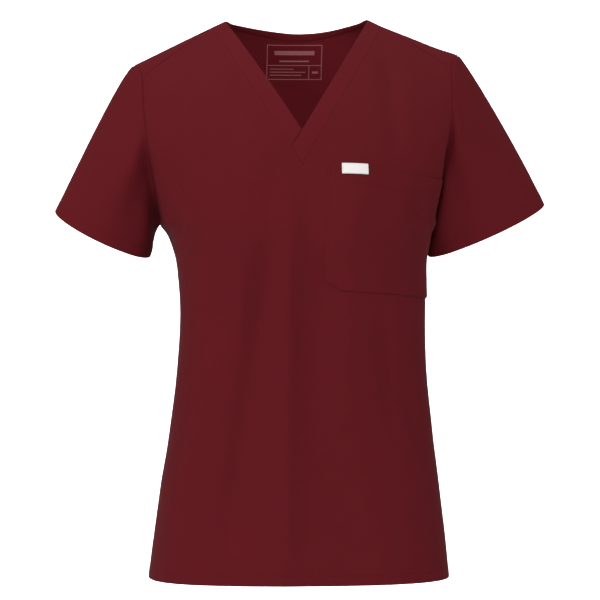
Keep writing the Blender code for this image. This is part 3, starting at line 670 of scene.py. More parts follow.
def stepped(length, spacing, at_start=(0.0,), at_end=(0.0,)):
    """Distances from 0 to a length: close steps at its ends and even ones between."""
    start = np.asarray(at_start)
    end = length - np.asarray(at_end)[::-1]
    count = max(1, round((end[0] - start[-1]) / spacing))
    middle = np.linspace(start[-1], end[0], count + 1)
    return np.concatenate([start[:-1], middle, end[1:]])


def nearest(points, line):
    """Distance from each point to a line, both in millimetres."""
    dense = resampled(line, SEARCH_SPACING)
    tree = KDTree(len(dense))
    for number, point in enumerate(dense):
        tree.insert(point, number)
    tree.balance()
    flat = points.reshape(-1, 3)
    return np.array([tree.find(point)[2] for point in flat]).reshape(points.shape[:-1])


def ripple(along, seed):
    """Uneven waves between about -1 and 1, for cloth that a seam draws together."""
    return sum(height * np.sin(along / length + shift * seed) for height, length, shift in RIPPLES)


def draped(places):
    """Points of the draped body at a grid of places, and its normals there."""
    flat = places.reshape(-1, 2)
    points = body_points(*flat.T).reshape(*places.shape[:2], 3)
    return points, outward(*flat.T, surface=body_points).reshape(points.shape)


def flat_cloth(places):
    """Where a grid of places lies on the flat cloth, in metres."""
    across = places[..., 0] * SIDE_SPREAD
    return np.stack([across * MM, places[..., 1] * MM, 0.0 * across], axis=-1)


def new_mesh():
    """An empty mesh whose vertices know where they lie on the flat cloth."""
    mesh = bmesh.new()
    mesh.verts.layers.float_vector.new("cloth")
    return mesh


def add_grid(mesh, points, cloth):
    """Adds a sheet of quads through rows of points."""
    rows, columns = points.shape[:2]
    layer = mesh.verts.layers.float_vector["cloth"]
    grid = bmesh.ops.create_grid(mesh, x_segments=columns - 1, y_segments=rows - 1, size=1.0)["verts"]
    for vertex in grid:
        column = round((vertex.co.x + 1.0) / 2.0 * (columns - 1))
        row = round((vertex.co.y + 1.0) / 2.0 * (rows - 1))
        vertex[layer] = cloth[row, column]
        vertex.co = points[row, column] * MM


def face_away(mesh, middle, inwards=False):
    """Joins touching edges and turns a sheet's faces away from a point inside the garment, or towards it."""
    bmesh.ops.remove_doubles(mesh, verts=mesh.verts, dist=JOIN_DISTANCE * MM)
    bmesh.ops.recalc_face_normals(mesh, faces=mesh.faces)
    centre = Vector(middle) * MM
    facing = 0.0
    for face in mesh.faces:
        facing += face.normal.dot(face.calc_center_median() - centre) * face.calc_area()
    if (facing < 0.0) != inwards:
        bmesh.ops.reverse_faces(mesh, faces=mesh.faces)


def cloth_piece(name, mesh, thickness, materials, replaces=()):
    """A named piece from a sheet, given its thickness inwards; a second material is its inner side."""
    for edge in mesh.edges:
        edge.smooth = not edge.is_boundary
    data = bpy.data.meshes.new(name)
    mesh.to_mesh(data)
    mesh.free()
    data.shade_smooth()
    for material in materials:
        data.materials.append(material)
    piece = bpy.data.objects.new(name, data)
    bpy.context.scene.collection.objects.link(piece)
    if thickness:
        wall = piece.modifiers.new("Thickness", "SOLIDIFY")
        wall.thickness = thickness
        wall.offset = -1.0
        wall.use_rim = True
        wall.material_offset = len(materials) - 1
    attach(piece, "root")
    if replaces:
        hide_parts(*replaces)
    return piece


# The body's panels

def turned(run, face):
    """A distance along the cloth from the front hem, or from the back hem."""
    return run if face == "front" else RUN_END - run


def upper_edges(side, face, share):
    """Inner and outer places of a panel's rows from the armpit up to the shoulder seam."""
    share = np.asarray(share)
    armpit = turned(RUN_ARMPIT, face)
    outer = between((side, armpit), (side, SEAM_TIP_RUN), share)
    bend = UPPER_INNER_SHARE[face]
    low = share[share <= bend] / bend
    high = (share[share > bend] - bend) / (1.0 - bend)
    neckline = NECKLINES[face]
    start = neckline(side, np.array([0.0]))[0]
    inner = np.concatenate([between((0.0, armpit), start, low), neckline(side, high)])
    return inner, outer


def row_points(inner, outer, share):
    """Places on each row at shares between its inner and outer edge: rows by columns by 2."""
    return inner[:, None] + (outer - inner)[:, None] * share[..., None]


def columns_in_rows(inner, outer, count, at_inner, at_outer):
    """Shares at which columns cross each row: close steps at both edges, even ones between."""
    probe = np.linspace(0.0, 1.0, ROW_SAMPLES)
    places = row_points(inner, outer, np.tile(probe, (len(inner), 1)))
    points = smooth_body(*places.reshape(-1, 2).T).reshape(len(inner), -1, 3)
    lengths = line_lengths(points.transpose(1, 0, 2)).T
    shares = []
    for length in lengths:
        total = length[-1]
        squeeze = min(1.0, CLOSE_STEPS_SHARE * total / (at_inner[-1] + at_outer[-1] + 1e-6))
        start = np.asarray(at_inner) * squeeze
        end = total - np.asarray(at_outer)[::-1] * squeeze
        middle = np.linspace(start[-1], end[0], count)
        wanted = np.concatenate([start[:-1], middle, end[1:]])
        shares.append(np.interp(wanted, length, probe))
    return np.array(shares)


def hem_profile(hem_width):
    """Distance from the hem's fold and level of each row of a folded hem."""
    profile = np.array(FOLDED_EDGE)
    profile[:, 0] *= hem_width / FOLDED_EDGE_WIDTH
    return profile


def panel_grid(side, face, hem, spacing):
    """Places of one half of the front or back, and the inner and outer ends of its rows."""
    rest = stepped(RUN_ARMPIT - hem[-1, 0], spacing)[1:] + hem[-1, 0]
    low = turned(np.concatenate([hem[:, 0], rest]), face)
    armhole = abs(SEAM_TIP_RUN - turned(RUN_ARMPIT, face))
    share = stepped(armhole, spacing, at_end=SHOULDER_STEPS[face])[1:] / armhole
    inner_up, outer_up = upper_edges(side, face, share)
    inner = np.concatenate([np.stack([0.0 * low, low], axis=1), inner_up])
    outer = np.concatenate([np.stack([side + 0.0 * low, low], axis=1), outer_up])
    shares = columns_in_rows(inner, outer, round(PANEL_SPREAD / spacing), SEAM_STEPS, SEAM_STEPS)
    return row_points(inner, outer, shares), inner, outer


def half_panel(side, face, sizes):
    """Points, and places on the flat cloth, of one half of the front or back."""
    hem = hem_profile(sizes.hem_width / MM)
    places, inner, outer = panel_grid(side, face, hem, sizes.mesh_spacing / MM)
    points, normals = draped(places)
    neck = NECKLINES[face](side, np.linspace(0.0, 1.0, LINE_SAMPLES))
    top = row_points(inner[-1:], outer[-1:], np.linspace(0.0, 1.0, 40)[None])[0]
    to_side, to_neck, to_top = (nearest(points, body_points(*line.T)) for line in (outer, neck, top))
    closest = np.minimum(to_side, to_top)
    if face == "front":
        closest = np.minimum(closest, to_neck)
    level = -seam_dip(closest, sizes)
    if face == "front":
        level += NECK_DIP_BACK * seam_dip(to_neck, sizes)
    pucker = sizes.pucker_height / MM
    along = places[..., 1] + PANEL_WAVE_SHIFT * places[..., 0]
    level += pucker * ripple(along, 1.0) * np.exp(-closest / PUCKER_REACH) * (closest > PUCKER_START)
    if face == "back":
        roll, roll_reach = BACK_NECK_ROLL
        level -= roll * falling(to_neck, roll_reach)
        behind, depth, width = SHOULDER_GROOVE
        level -= depth * bell(to_top - behind, width)
    level[:len(hem)] += hem[:, 1, None]
    near_hem = bell(turned(places[..., 1], face) - STITCH_IN_HEM, PUCKER_REACH)
    level += HEM_PUCKER * pucker * near_hem * ripple(places[..., 0] * SIDE_SPREAD, 2.0)
    return points + normals * level[..., None], flat_cloth(places)


def seam_dip(distance, sizes):
    """How deep the cloth dips towards a seam at a distance from it."""
    return sizes.seam_depth / MM * falling(distance, sizes.seam_width / MM)


def panel(face, sizes, materials):
    """The front or the back of the body."""
    mesh = new_mesh()
    for side in SIDES:
        add_grid(mesh, *half_panel(side, face, sizes))
    face_away(mesh, (0.0, 0.0, -330.0))
    name = f"{face}_cloth"
    return cloth_piece(name, mesh, sizes.cloth_thickness, materials, [f"{face}_panel"])


# Neckbands and back neck tape

def band_edges(side, share):
    """Inner and outer places of a neckband's rows, from the point of the V up to the shoulder seam."""
    lap = seen_from_front(v_edge(-1.0, np.array([LAP_SHARE]))[0])
    left_neck = seen_from_front(neck_seam_place(1.0))
    neck = neck_seam_place(side)
    if side > 0:
        outer = v_edge(side, share)
        inner = seen_line(lap, left_neck, share)
    else:
        outer = v_edge(side, LAP_SHARE + (1.0 - LAP_SHARE) * share)
        crossing = (0.0, lap[1] - lap[0] * (left_neck[1] - lap[1]) / (left_neck[0] - lap[0]))
        inner = seen_line(crossing, seen_from_front(neck), share)
    inner[-1] = neck
    return inner, outer


def band_profile(width, sizes):
    """Distance from the seam and level of each column of a folded band: out to its fold and back inside."""
    rise = sizes.band_rise / MM
    depth = sizes.seam_depth / MM
    return np.array([
        (0.0, -0.12 * depth), (0.4, -0.05 * depth), (0.9, 0.3 * rise),
        (1.5, 0.75 * rise), (2.3, rise), (3.4, rise),
        *[(distance, rise) for distance in np.linspace(5.0, width - 5.0, 6)],
        (width - 3.0, rise), (width - 1.6, 0.85 * rise), (width - 0.7, 0.45 * rise), (width - 0.2, -0.1),
        (width, -0.45), (width - 0.2, -0.85), (width - 0.7, -1.15), (width - 1.6, BAND_INSIDE + 0.05),
        *[(distance, BAND_INSIDE) for distance in np.linspace(width - 4.0, 0.5, 6)],
    ])


def neckband(side, sizes, material):
    """A folded neckband; the wearer's left one laps over the right one at the point of the V."""
    spacing = sizes.mesh_spacing / MM
    outer_line = body_points(*v_edge(side, np.linspace(0.0, 1.0, LINE_SAMPLES)).T)
    length = line_lengths(outer_line)[-1]
    start = stepped(length, spacing, SEAM_STEPS, SEAM_STEPS)
    inner, outer = band_edges(side, start / length)
    widths = np.linalg.norm(body_points(*inner.T) - body_points(*outer.T), axis=1)
    profiles = np.array([band_profile(width, sizes) for width in widths])
    shares = profiles[..., 0] / widths[:, None]
    points, normals = draped(row_points(outer, inner, shares))
    from_seam, level = profiles[..., 0], profiles[..., 1]
    end = np.minimum(start, length - start)
    level = level - seam_dip(end, sizes)[:, None] * (level > BAND_DIP_ABOVE)
    outside = np.tile(np.arange(level.shape[1]) < BAND_OUTSIDE_COLUMNS, (len(start), 1))
    wave = ripple(start, 3.0 + side)[:, None] * np.exp(-from_seam / BAND_PUCKER_REACH)
    level += outside * sizes.pucker_height / MM * wave * (from_seam > BAND_PUCKER_START)
    cloth = np.stack([from_seam * MM, np.tile(start[:, None] * MM, level.shape[1]), outside], axis=-1)
    mesh = new_mesh()
    add_grid(mesh, points + normals * level[..., None], cloth)
    bmesh.ops.recalc_face_normals(mesh, faces=mesh.faces)
    layer = mesh.verts.layers.float_vector["cloth"]
    shown = [face for face in mesh.faces if all(vertex[layer].z > 0.5 for vertex in face.verts)]
    if sum(face.normal.y for face in shown) > 0.0:
        bmesh.ops.reverse_faces(mesh, faces=mesh.faces)
    word = "left" if side > 0 else "right"
    return cloth_piece(
        f"neckband_cloth_{word}", mesh, sizes.band_thickness, [material],
        [f"neckband_{word}"])


def back_tape(material):
    """The narrow tape that binds the back neckline inside."""
    share = np.linspace(0.0, 1.0, 61)
    distance, level = np.array(TAPE_EDGE).T
    mesh = new_mesh()
    for side in SIDES:
        edge = back_neckline(side, share)
        wide = back_neckline(side, share, TAPE_WIDTH)
        places = row_points(edge, wide, np.tile(distance / TAPE_WIDTH, (len(share), 1)))
        points, normals = draped(places)
        add_grid(mesh, points + normals * level[:, None], flat_cloth(places))
    face_away(mesh, (0.0, 0.0, -40.0), inwards=True)
    return cloth_piece(
        "back_neck_tape_cloth", mesh, TAPE_THICKNESS, [material], ["back_neck_tape"])


# Chest pocket and its tab

def pocket_outline():
    """Edges of the pocket as places: top and bottom from its free side to the seam, free side, seam side."""
    share = np.linspace(0.0, 1.0, 41)
    top_end = np.array([1.0, find_side_run(POCKET_TOP_AT_SIDE)])
    bottom_end = np.array([1.0, find_side_run(POCKET_BOTTOM_AT_SIDE)])
    top = seen_line(POCKET_TOP_CORNER, seen_from_front(top_end), share)
    bottom = seen_line(POCKET_CLIPPED_CORNER, seen_from_front(bottom_end), share)
    top[-1] = top_end
    bottom[-1] = bottom_end
    down = share[share <= POCKET_CLIP_SHARE] / POCKET_CLIP_SHARE
    clip = (share[share > POCKET_CLIP_SHARE] - POCKET_CLIP_SHARE) / (1.0 - POCKET_CLIP_SHARE)
    free = np.concatenate([
        seen_line(POCKET_TOP_CORNER, POCKET_LOWER_CORNER, down),
        seen_line(POCKET_LOWER_CORNER, POCKET_CLIPPED_CORNER, clip)])
    return top, bottom, free, between(top_end, bottom_end, share)


def find_side_run(height):
    """Distance along the front at which its side edge lies at a height."""
    run = np.linspace(0.0, RUN_RIDGE, 2000)
    heights = smooth_body(np.ones(len(run)), run)[:, 2]
    return float(np.interp(height, heights, run))


def on_line(line, share):
    """Places at shares of the way along a line of places."""
    points = body_points(*line.T)
    length = line_lengths(points)
    wanted = np.asarray(share) * length[-1]
    return np.stack([np.interp(wanted, length, line[:, axis]) for axis in (0, 1)], axis=1)


def pocket_grid(outline):
    """Places all over the pocket, blended from its edges, and how far across each column lies."""
    top, bottom, free, seam = outline
    across = stepped(POCKET_WIDTH, POCKET_SPACING, SEAM_STEPS + TURNED_IN_STEPS, SEAM_STEPS) / POCKET_WIDTH
    sewn_steps = SEAM_STEPS[1:] + TURNED_IN_STEPS
    down = stepped(POCKET_HEIGHT, POCKET_SPACING, MOUTH_STEPS, sewn_steps) / POCKET_HEIGHT
    down = np.concatenate([down, [1.0]])
    s = across[None, :, None]
    t = down[:, None, None]
    places = (1 - t) * on_line(top, across)[None] + t * on_line(bottom, across)[None]
    places = places + (1 - s) * on_line(free, down)[:, None]
    places += s * on_line(seam, down)[:, None]
    places -= (1 - s) * ((1 - t) * top[0] + t * bottom[0]) + s * ((1 - t) * top[-1] + t * bottom[-1])
    return places, across[None]


def pocket_level(points, places, across, outline, sizes):
    """How far the pocket's cloth lies out of the front's level, and how far it sags."""
    mouth, beneath, free, into_seam = (nearest(points, body_points(*line.T)) for line in outline)
    sewn = np.minimum(free, beneath)
    level = np.full(sewn.shape, sizes.pocket_rise / MM)
    reach, lift, softness = POCKET_TURNED_IN
    level += lift * rising(reach - sewn, softness)
    stitch, depth, width = POCKET_GROOVE
    level -= depth * bell(sewn - stitch, width)
    bulge = BULGE_AT_FREE_SIDE + (1.0 - BULGE_AT_FREE_SIDE) * across**2
    bulge = bulge * (1.0 - bell(beneath, BULGE_RANGE[0])) * np.exp(-beneath / BULGE_RANGE[1])
    bulge *= smooth_step(into_seam, *BULGE_FROM_SEAM)
    level += POCKET_BULGE * bulge
    roll, reach = POCKET_EDGE_ROLL
    level -= roll * falling(sewn, reach)
    open_end = bell(across - POCKET_OPEN_AT[0], POCKET_OPEN_AT[1])
    gape = np.sin(np.pi * np.clip(across, 0.0, 1.0)) ** POCKET_GAPE_FULLNESS
    gape = gape * (POCKET_GAPE[1] + POCKET_GAPE[0] * open_end)
    level += gape * np.exp(-mouth / POCKET_GAPE_REACH)
    roll, reach = POCKET_MOUTH_ROLL
    level -= (roll + POCKET_OPEN_ROLL * open_end) * falling(mouth, reach)
    stitch, depth, width = POCKET_MOUTH_GROOVE
    level -= depth * bell(mouth - stitch, width) * (into_seam > MOUTH_GROOVE_FROM_SEAM)
    roll, reach = POCKET_SEAM_ROLL
    level -= seam_dip(into_seam, sizes) + roll * np.exp(-into_seam / reach)
    height, reach = POCKET_PUCKER
    wave = ripple(places[..., 1] + POCKET_WAVE_SHIFT * places[..., 0], 5.0)
    level += height * sizes.pucker_height / MM * wave * np.exp(-sewn / reach)
    sag = POCKET_SAG * (SAG_AT_FREE_SIDE + (1.0 - SAG_AT_FREE_SIDE) * across)
    sag = sag * bell(beneath - SAG_RANGE[0], SAG_RANGE[1]) * smooth_step(into_seam, *SAG_FROM_SEAM)
    return level, sag


def pocket(sizes, materials):
    """The chest pocket: sewn down on three sides or into the seam, with a mouth that stands off a little."""
    outline = pocket_outline()
    places, across = pocket_grid(outline)
    points, normals = draped(places)
    level, sag = pocket_level(points, places, across, outline, sizes)
    sunk = points + normals * level[..., None]
    sunk[..., 2] -= sag
    mesh = new_mesh()
    add_grid(mesh, sunk, flat_cloth(places))
    face_away(mesh, (60.0, 0.0, -240.0))
    return cloth_piece(
        "pocket_cloth", mesh, sizes.pocket_thickness, materials, ["chest_pocket"])


def tab_lift(fall):
    """How far the tab stands off at a distance below its top edge."""
    height, reach = TAB_LIFT
    return height * np.exp(-fall / reach)


def rounded_corners(x, fall, width, height):
    """A rectangle's grid with its corners pulled in to a rounding."""
    corner_x, corner_z = (
        np.maximum(TAB_ROUNDING - np.minimum(place, size - place), 0.0)
        for place, size in ((x, width), (fall, height)))
    pull = np.maximum(corner_x, corner_z) / np.maximum(np.hypot(corner_x, corner_z), 1e-9)
    pull = np.where((corner_x > 0) & (corner_z > 0), pull, 1.0)
    moved = []
    for place, corner, size in ((x, corner_x, width), (fall, corner_z, height)):
        near = TAB_ROUNDING - corner * pull
        far = size - TAB_ROUNDING + corner * pull
        moved.append(np.where(pull < 1.0, np.where(place < size / 2, near, far), place))
    return moved


def tab(sizes, material):
    """The small blank woven tab sewn over the pocket's mouth, with rounded corners and a raised border."""
    (left, top), (right, bottom) = TAB_CORNERS
    width, height = right - left, top - bottom
    across = stepped(width, TAB_SPACING, TAB_STEPS, TAB_STEPS)
    down = stepped(height, TAB_SPACING, TAB_STEPS, TAB_STEPS)
    x, fall = np.meshgrid(across, down)
    edge = np.minimum(np.minimum(x, width - x), np.minimum(fall, height - fall))
    x, fall = rounded_corners(x, fall, width, height)
    seen_x = (left + x).ravel()
    seen_z = (top - TAB_SLANT * x / width - fall).ravel()
    places = front_places(seen_x, seen_z)
    points = body_points(*places.T).reshape(*x.shape, 3)
    normals = outward(*places.T, surface=body_points).reshape(points.shape)
    level = sizes.tab_rise / MM - TAB_ROLL[0] * falling(edge, TAB_ROLL[1])
    inset, height, width = TAB_BORDER
    level = level + height * bell(edge - inset, width)
    inset, depth, width = TAB_GROOVE
    level = level - depth * bell(edge - inset, width)
    level = level + tab_lift(fall)
    cloth = np.stack([x * MM, fall * MM, edge * MM], axis=-1)
    mesh = new_mesh()
    add_grid(mesh, points + normals * level[..., None], cloth)
    face_away(mesh, (60.0, 0.0, -175.0))
    return cloth_piece("woven_tab_cloth", mesh, TAB_THICKNESS, [material], ["pocket_tab"])


# Sleeves

def cuff_angles(loop):
    """How far round the sleeve each armhole point lies: 0 at the shoulder, half a turn at the armpit."""
    steps = np.linalg.norm(np.roll(loop, -1, axis=0) - loop, axis=1)
    total = steps.sum()
    position = np.concatenate([[0.0], np.cumsum(steps)[:-1]])
    down = (position[np.argmax(loop[:, 2])] - position) % total
    bottom = down[np.argmin(loop[:, 2])]
    return np.where(
        down <= bottom, down / bottom * math.pi, math.pi + (down - bottom) / (total - bottom) * math.pi)


def armhole_loop(side, spacing):
    """Places evenly round the armhole, from the armpit up the front and down the back."""
    run = np.linspace(RUN_ARMPIT, RUN_BACK_ARMPIT, 1200)
    length = line_lengths(smooth_body(side + 0.0 * run, run))
    count = round(length[-1] / spacing)
    even = np.interp(np.linspace(0.0, length[-1], count + 1)[:-1], length, run)
    return np.stack([side + 0.0 * even, even], axis=1)


def sleeve_curves(sleeve, start, angle):
    """Where each line of a sleeve ends at the cuff, and how it leaves the armhole and arrives there."""
    side = sleeve["side"]
    cuff = np.array(sleeve["cuff"])
    across_cuff = cuff - np.array(sleeve["outer_corner"])
    half_width = np.linalg.norm(across_cuff)
    across_cuff /= half_width
    axis = np.array([-across_cuff[2], 0.0, across_cuff[0]]) * side
    front_edge = np.array([0.0, -sleeve["half_depth"], 0.0]) + axis * sleeve["droop"]
    end = cuff - np.outer(np.cos(angle), across_cuff) * half_width + np.outer(np.sin(angle), front_edge)
    chord = end - start
    topness = np.cos(angle / 2.0)[:, None] ** 2
    slope = SHOULDER_SLOPE - SLOPE_DIFFERENCE * side
    push = np.array([side, 0.0, -slope]) / math.hypot(1.0, slope) * sleeve["shoulder_push"]
    leave = topness * push + (1.0 - topness) * (chord + np.array([side * ARMPIT_PUSH, 0.0, 0.0]))
    leave[:, 1] -= sleeve["front_puff"] * np.maximum(np.sin(angle), 0.0)
    leave[:, 1] += sleeve["back_puff"] * np.maximum(-np.sin(angle), 0.0)
    arrive = axis * np.linalg.norm(chord, axis=1)[:, None]
    return end, leave, arrive


def sleeve_points(sleeve, places, share):
    """Points of a sleeve's lines at shares of the way to the cuff, rows by columns."""
    start = body_points(*places.T)
    angle = cuff_angles(start)
    end, leave, arrive = sleeve_curves(sleeve, start, angle)
    t = (share * (1.0 - CAP_CROWDING * (1.0 - share)))[..., None]
    points = (2 * t**3 - 3 * t**2 + 1) * start + (3 * t**2 - 2 * t**3) * end
    return points + (t**3 - 2 * t**2 + t) * leave + (t**3 - t**2) * arrive, angle


def sleeve_surface(sleeve, from_seam, at_hem, spacing, places):
    """Points and outward normals of a sleeve at distances from its armhole and then from its cuff."""
    probe = np.tile(np.linspace(0.0, 1.0, 61)[:, None], (1, len(places)))
    lines, angle = sleeve_points(sleeve, places, probe)
    lengths = line_lengths(lines)
    count = round(lengths[-1].mean() / spacing)
    share = []
    distance = []
    for column in range(len(places)):
        total = lengths[-1, column]
        start = np.asarray(from_seam)
        end = total - np.asarray(at_hem)
        middle = np.linspace(start[-1], end[-1], count)
        wanted = np.concatenate([start[:-1], middle, end[:-1][::-1]])
        distance.append(wanted)
        share.append(np.interp(np.clip(wanted, 0.0, total), lengths[:, column], probe[:, column]))
    share = np.array(share).T
    points, _ = sleeve_points(sleeve, places, share)
    shift = 0.004
    ahead, _ = sleeve_points(sleeve, places, np.clip(share + shift, 0.0, 1.0))
    behind, _ = sleeve_points(sleeve, places, np.clip(share - shift, 0.0, 1.0))
    along = ahead - behind
    beside = np.roll(points, -1, axis=1) - np.roll(points, 1, axis=1)
    normals = np.cross(along, beside)
    normals /= np.linalg.norm(normals, axis=-1)[..., None]
    middle_point = points.mean(axis=1, keepdims=True)
    if (normals * (points - middle_point)).sum() < 0.0:
        normals = -normals
    return points, normals, np.array(distance).T, lengths[-1], angle, share


def sleeve_lift(angle, share, around):
    """How far a sleeve's folds lift its cloth."""
    degrees = np.degrees(angle)
    lift = np.zeros(share.shape)
    for first, start, last, end, half_width, height in SLEEVE_FOLDS:
        way = (share - start) / (end - start)
        centre = first + (last - first) * np.clip(way, 0.0, 1.0)
        beside = (degrees[None] - centre) / 360.0 * around
        fade = rising(way - SLEEVE_FOLD_END, SLEEVE_FOLD_SOFTNESS)
        fade = fade * rising(1.0 - SLEEVE_FOLD_END - way, SLEEVE_FOLD_SOFTNESS)
        lift += height * fade * bell(beside, half_width)
    return lift


def sleeve_sheet(word, sizes):
    """Points, normals and places on the flat cloth of a sleeve, from the armhole seam to inside the hem."""
    shape = SLEEVES[word]
    spacing = sizes.mesh_spacing / MM
    places = armhole_loop(shape["side"], spacing)
    hem = hem_profile(sizes.sleeve_hem_width / MM)
    points, normals, distance, lengths, angle, share = sleeve_surface(
        shape, SEAM_STEPS, hem[:, 0], spacing, places)
    body_normal = outward(*places.T, surface=body_points)
    mix = np.exp(-distance / SLEEVE_TURN_REACH)[..., None]
    normals = normals * (1.0 - mix) + body_normal[None] * mix
    normals /= np.linalg.norm(normals, axis=-1)[..., None]
    around = np.linalg.norm(np.diff(points[-1], axis=0), axis=1).sum()
    level = -seam_dip(distance, sizes) + sleeve_lift(angle, share, around)
    level[-len(hem):] += hem[::-1, 1][:, None]
    first, last, depth, width = VALLEYS[word]
    degrees = np.degrees(angle)
    rise, fall = VALLEY_FADES
    window = smooth_step(degrees, first, first + rise) * (1.0 - smooth_step(degrees, last - fall, last))
    level -= depth * window[None] * distance / width * np.exp(1.0 - distance / width)
    pucker = sizes.pucker_height / MM
    along_seam = line_lengths(points[0])
    near_seam = np.exp(-distance / SLEEVE_PUCKER_REACH) * (distance > PUCKER_START)
    level += pucker * ripple(along_seam, 4.0)[None] * near_seam
    near_hem = bell(lengths[None] - distance - STITCH_IN_HEM * 1.1, PUCKER_REACH)
    level += HEM_PUCKER * pucker * near_hem * ripple(line_lengths(points[-1]), 6.0)[None]
    cloth = np.stack([np.tile(along_seam * MM, (len(points), 1)), distance * MM, 0.0 * distance], axis=-1)
    return points + normals * level[..., None], normals, cloth


def sleeve(word, sizes, materials):
    """A short sleeve: one tube from the armhole seam to its turned-up hem."""
    moved, _, cloth = sleeve_sheet(word, sizes)
    closed = np.concatenate([moved, moved[:, :1]], axis=1)
    closed_cloth = np.concatenate([cloth, cloth[:, :1]], axis=1)
    mesh = new_mesh()
    add_grid(mesh, closed, closed_cloth)
    face_away(mesh, moved[len(moved) // 2].mean(axis=0))
    return cloth_piece(
        f"sleeve_cloth_{word}", mesh, sizes.cloth_thickness, materials, [f"sleeve_{word}"])


# Seam allowances inside

def allowance_level(distance, sizes):
    """Level of a strip that lies inside, under a seam and beside it."""
    return -seam_dip(np.abs(distance), sizes) - (sizes.cloth_thickness / MM + ALLOWANCE_BELOW)


def add_strip(mesh, places, distance, sizes):
    """Adds a strip of cloth that lies on the inside of the body along a seam."""
    points, normals = draped(places)
    add_grid(mesh, points + normals * allowance_level(distance, sizes)[:, None], flat_cloth(places))


def side_strip(side):
    """Places of the allowance along a side seam, laid towards the back."""
    distance = np.array(ALLOWANCE)
    run = np.linspace(15.0, RUN_ARMPIT - 2.0, 130)[:, None]
    across = side * (1.0 - np.abs(distance) / SIDE_SPREAD) + 0.0 * run
    along = np.where(distance < 0.0, run, RUN_END - run)
    return np.stack([across, along], axis=-1), distance


def shoulder_strip(side):
    """Places of the allowance along a forward shoulder seam, laid towards the back."""
    distance = np.array(ALLOWANCE)
    start = band_seam_place(side)[0]
    across = np.linspace(start, side * 0.985, 40)[:, None] + 0.0 * distance
    run = shoulder_seam_run(across) + distance
    return np.stack([across, run], axis=-1), distance


def armhole_strip(side):
    """Places of the allowance round an armhole, laid towards the body."""
    distance = np.array(ARMHOLE_ALLOWANCE)
    run = np.linspace(RUN_ARMPIT, RUN_BACK_ARMPIT, 180)[:, None]
    across = side * (1.0 - distance / SIDE_SPREAD) + 0.0 * run
    return np.stack([across, run + 0.0 * distance], axis=-1), distance


def neck_strip(side):
    """Places of the allowance along a neckband's seam, laid towards the panel."""
    distance = np.array(NECK_ALLOWANCE)
    bend = UPPER_INNER_SHARE["front"]
    inner, outer = upper_edges(side, "front", np.linspace(bend + 0.004, 0.985, 70))
    widths = np.linalg.norm(body_points(*inner.T) - body_points(*outer.T), axis=1)
    return row_points(inner, outer, distance[None] / widths[:, None]), distance


def allowances(name, strip, sizes, material):
    """The seam allowances of one kind, on both sides of the body."""
    mesh = new_mesh()
    for side in SIDES:
        places, distance = strip(side)
        add_strip(mesh, places, distance, sizes)
    face_away(mesh, (0.0, 0.0, -330.0))
    return cloth_piece(name, mesh, ALLOWANCE_THICKNESS, [material])


# Stitching

def add_stitches(mesh, line, normals, sizes, pitch_share=1.0):
    """Adds a row of stitches along a line that lies on the cloth."""
    length = line_lengths(line)
    pitch = sizes.stitch_pitch / MM * pitch_share
    centres = np.arange(pitch / 2.0, length[-1] - pitch / 4.0, pitch)

    def at(values, where):
        return np.stack([np.interp(where, length, values[:, axis]) for axis in range(3)], axis=1)

    ahead = at(line, centres + 0.3 * pitch) - at(line, centres - 0.3 * pitch)
    half_length = sizes.stitch_length * pitch_share / 2.0
    half_thick = sizes.stitch_thickness / 2.0
    for middle, way, up in zip(at(line, centres), ahead, at(normals, centres)):
        forward = Vector(way).normalized()
        above = Vector(up)
        above = (above - forward * above.dot(forward)).normalized()
        turn = Matrix((above.cross(forward), above, forward)).transposed().to_4x4()
        place = Matrix.Translation(Vector(middle) * MM) @ turn
        size = Matrix.Diagonal((half_thick, half_thick * 0.8, half_length, 1.0))
        bmesh.ops.create_uvsphere(mesh, u_segments=6, v_segments=4, radius=1.0, matrix=place @ size)


def body_line(places, level):
    """A line on the body at a level, and its normals."""
    normals = outward(*places.T, surface=body_points)
    return body_points(*places.T) + normals * level, normals


def stitched(name, lines, sizes, material):
    """A piece of stitching in several rows: each a line, its normals and its share of the usual pitch."""
    mesh = new_mesh()
    for line, normals, pitch_share in lines:
        add_stitches(mesh, line, normals, sizes, pitch_share)
    return cloth_piece(name, mesh, 0.0, [material])


def hem_line(face, sizes):
    """The stitching line of the front's or the back's hem."""
    across = np.linspace(-1.0, 1.0, 240)
    width = STITCH_IN_HEM * sizes.hem_width / MM / FOLDED_EDGE_WIDTH
    run = turned(width, face) + 0.0 * across
    return body_line(np.stack([across, run], axis=1), HEM_STITCH_LEVEL)


def shoulder_line(side):
    """The topstitching just behind a forward shoulder seam."""
    across = np.linspace(band_seam_place(side)[0], side * 0.99, 60)
    run = shoulder_seam_run(across) + SHOULDER_GROOVE[0]
    return body_line(np.stack([across, run], axis=1), SHOULDER_STITCH_LEVEL)


def tape_line():
    """The stitching that holds the neck tape, seen outside on the back."""
    share = np.linspace(0.0, 1.0, 50)
    right = back_neckline(-1.0, share, TAPE_STITCH)[::-1]
    left = back_neckline(1.0, share, TAPE_STITCH)
    return body_line(np.concatenate([right, left[1:]]), TAPE_STITCH_LEVEL)


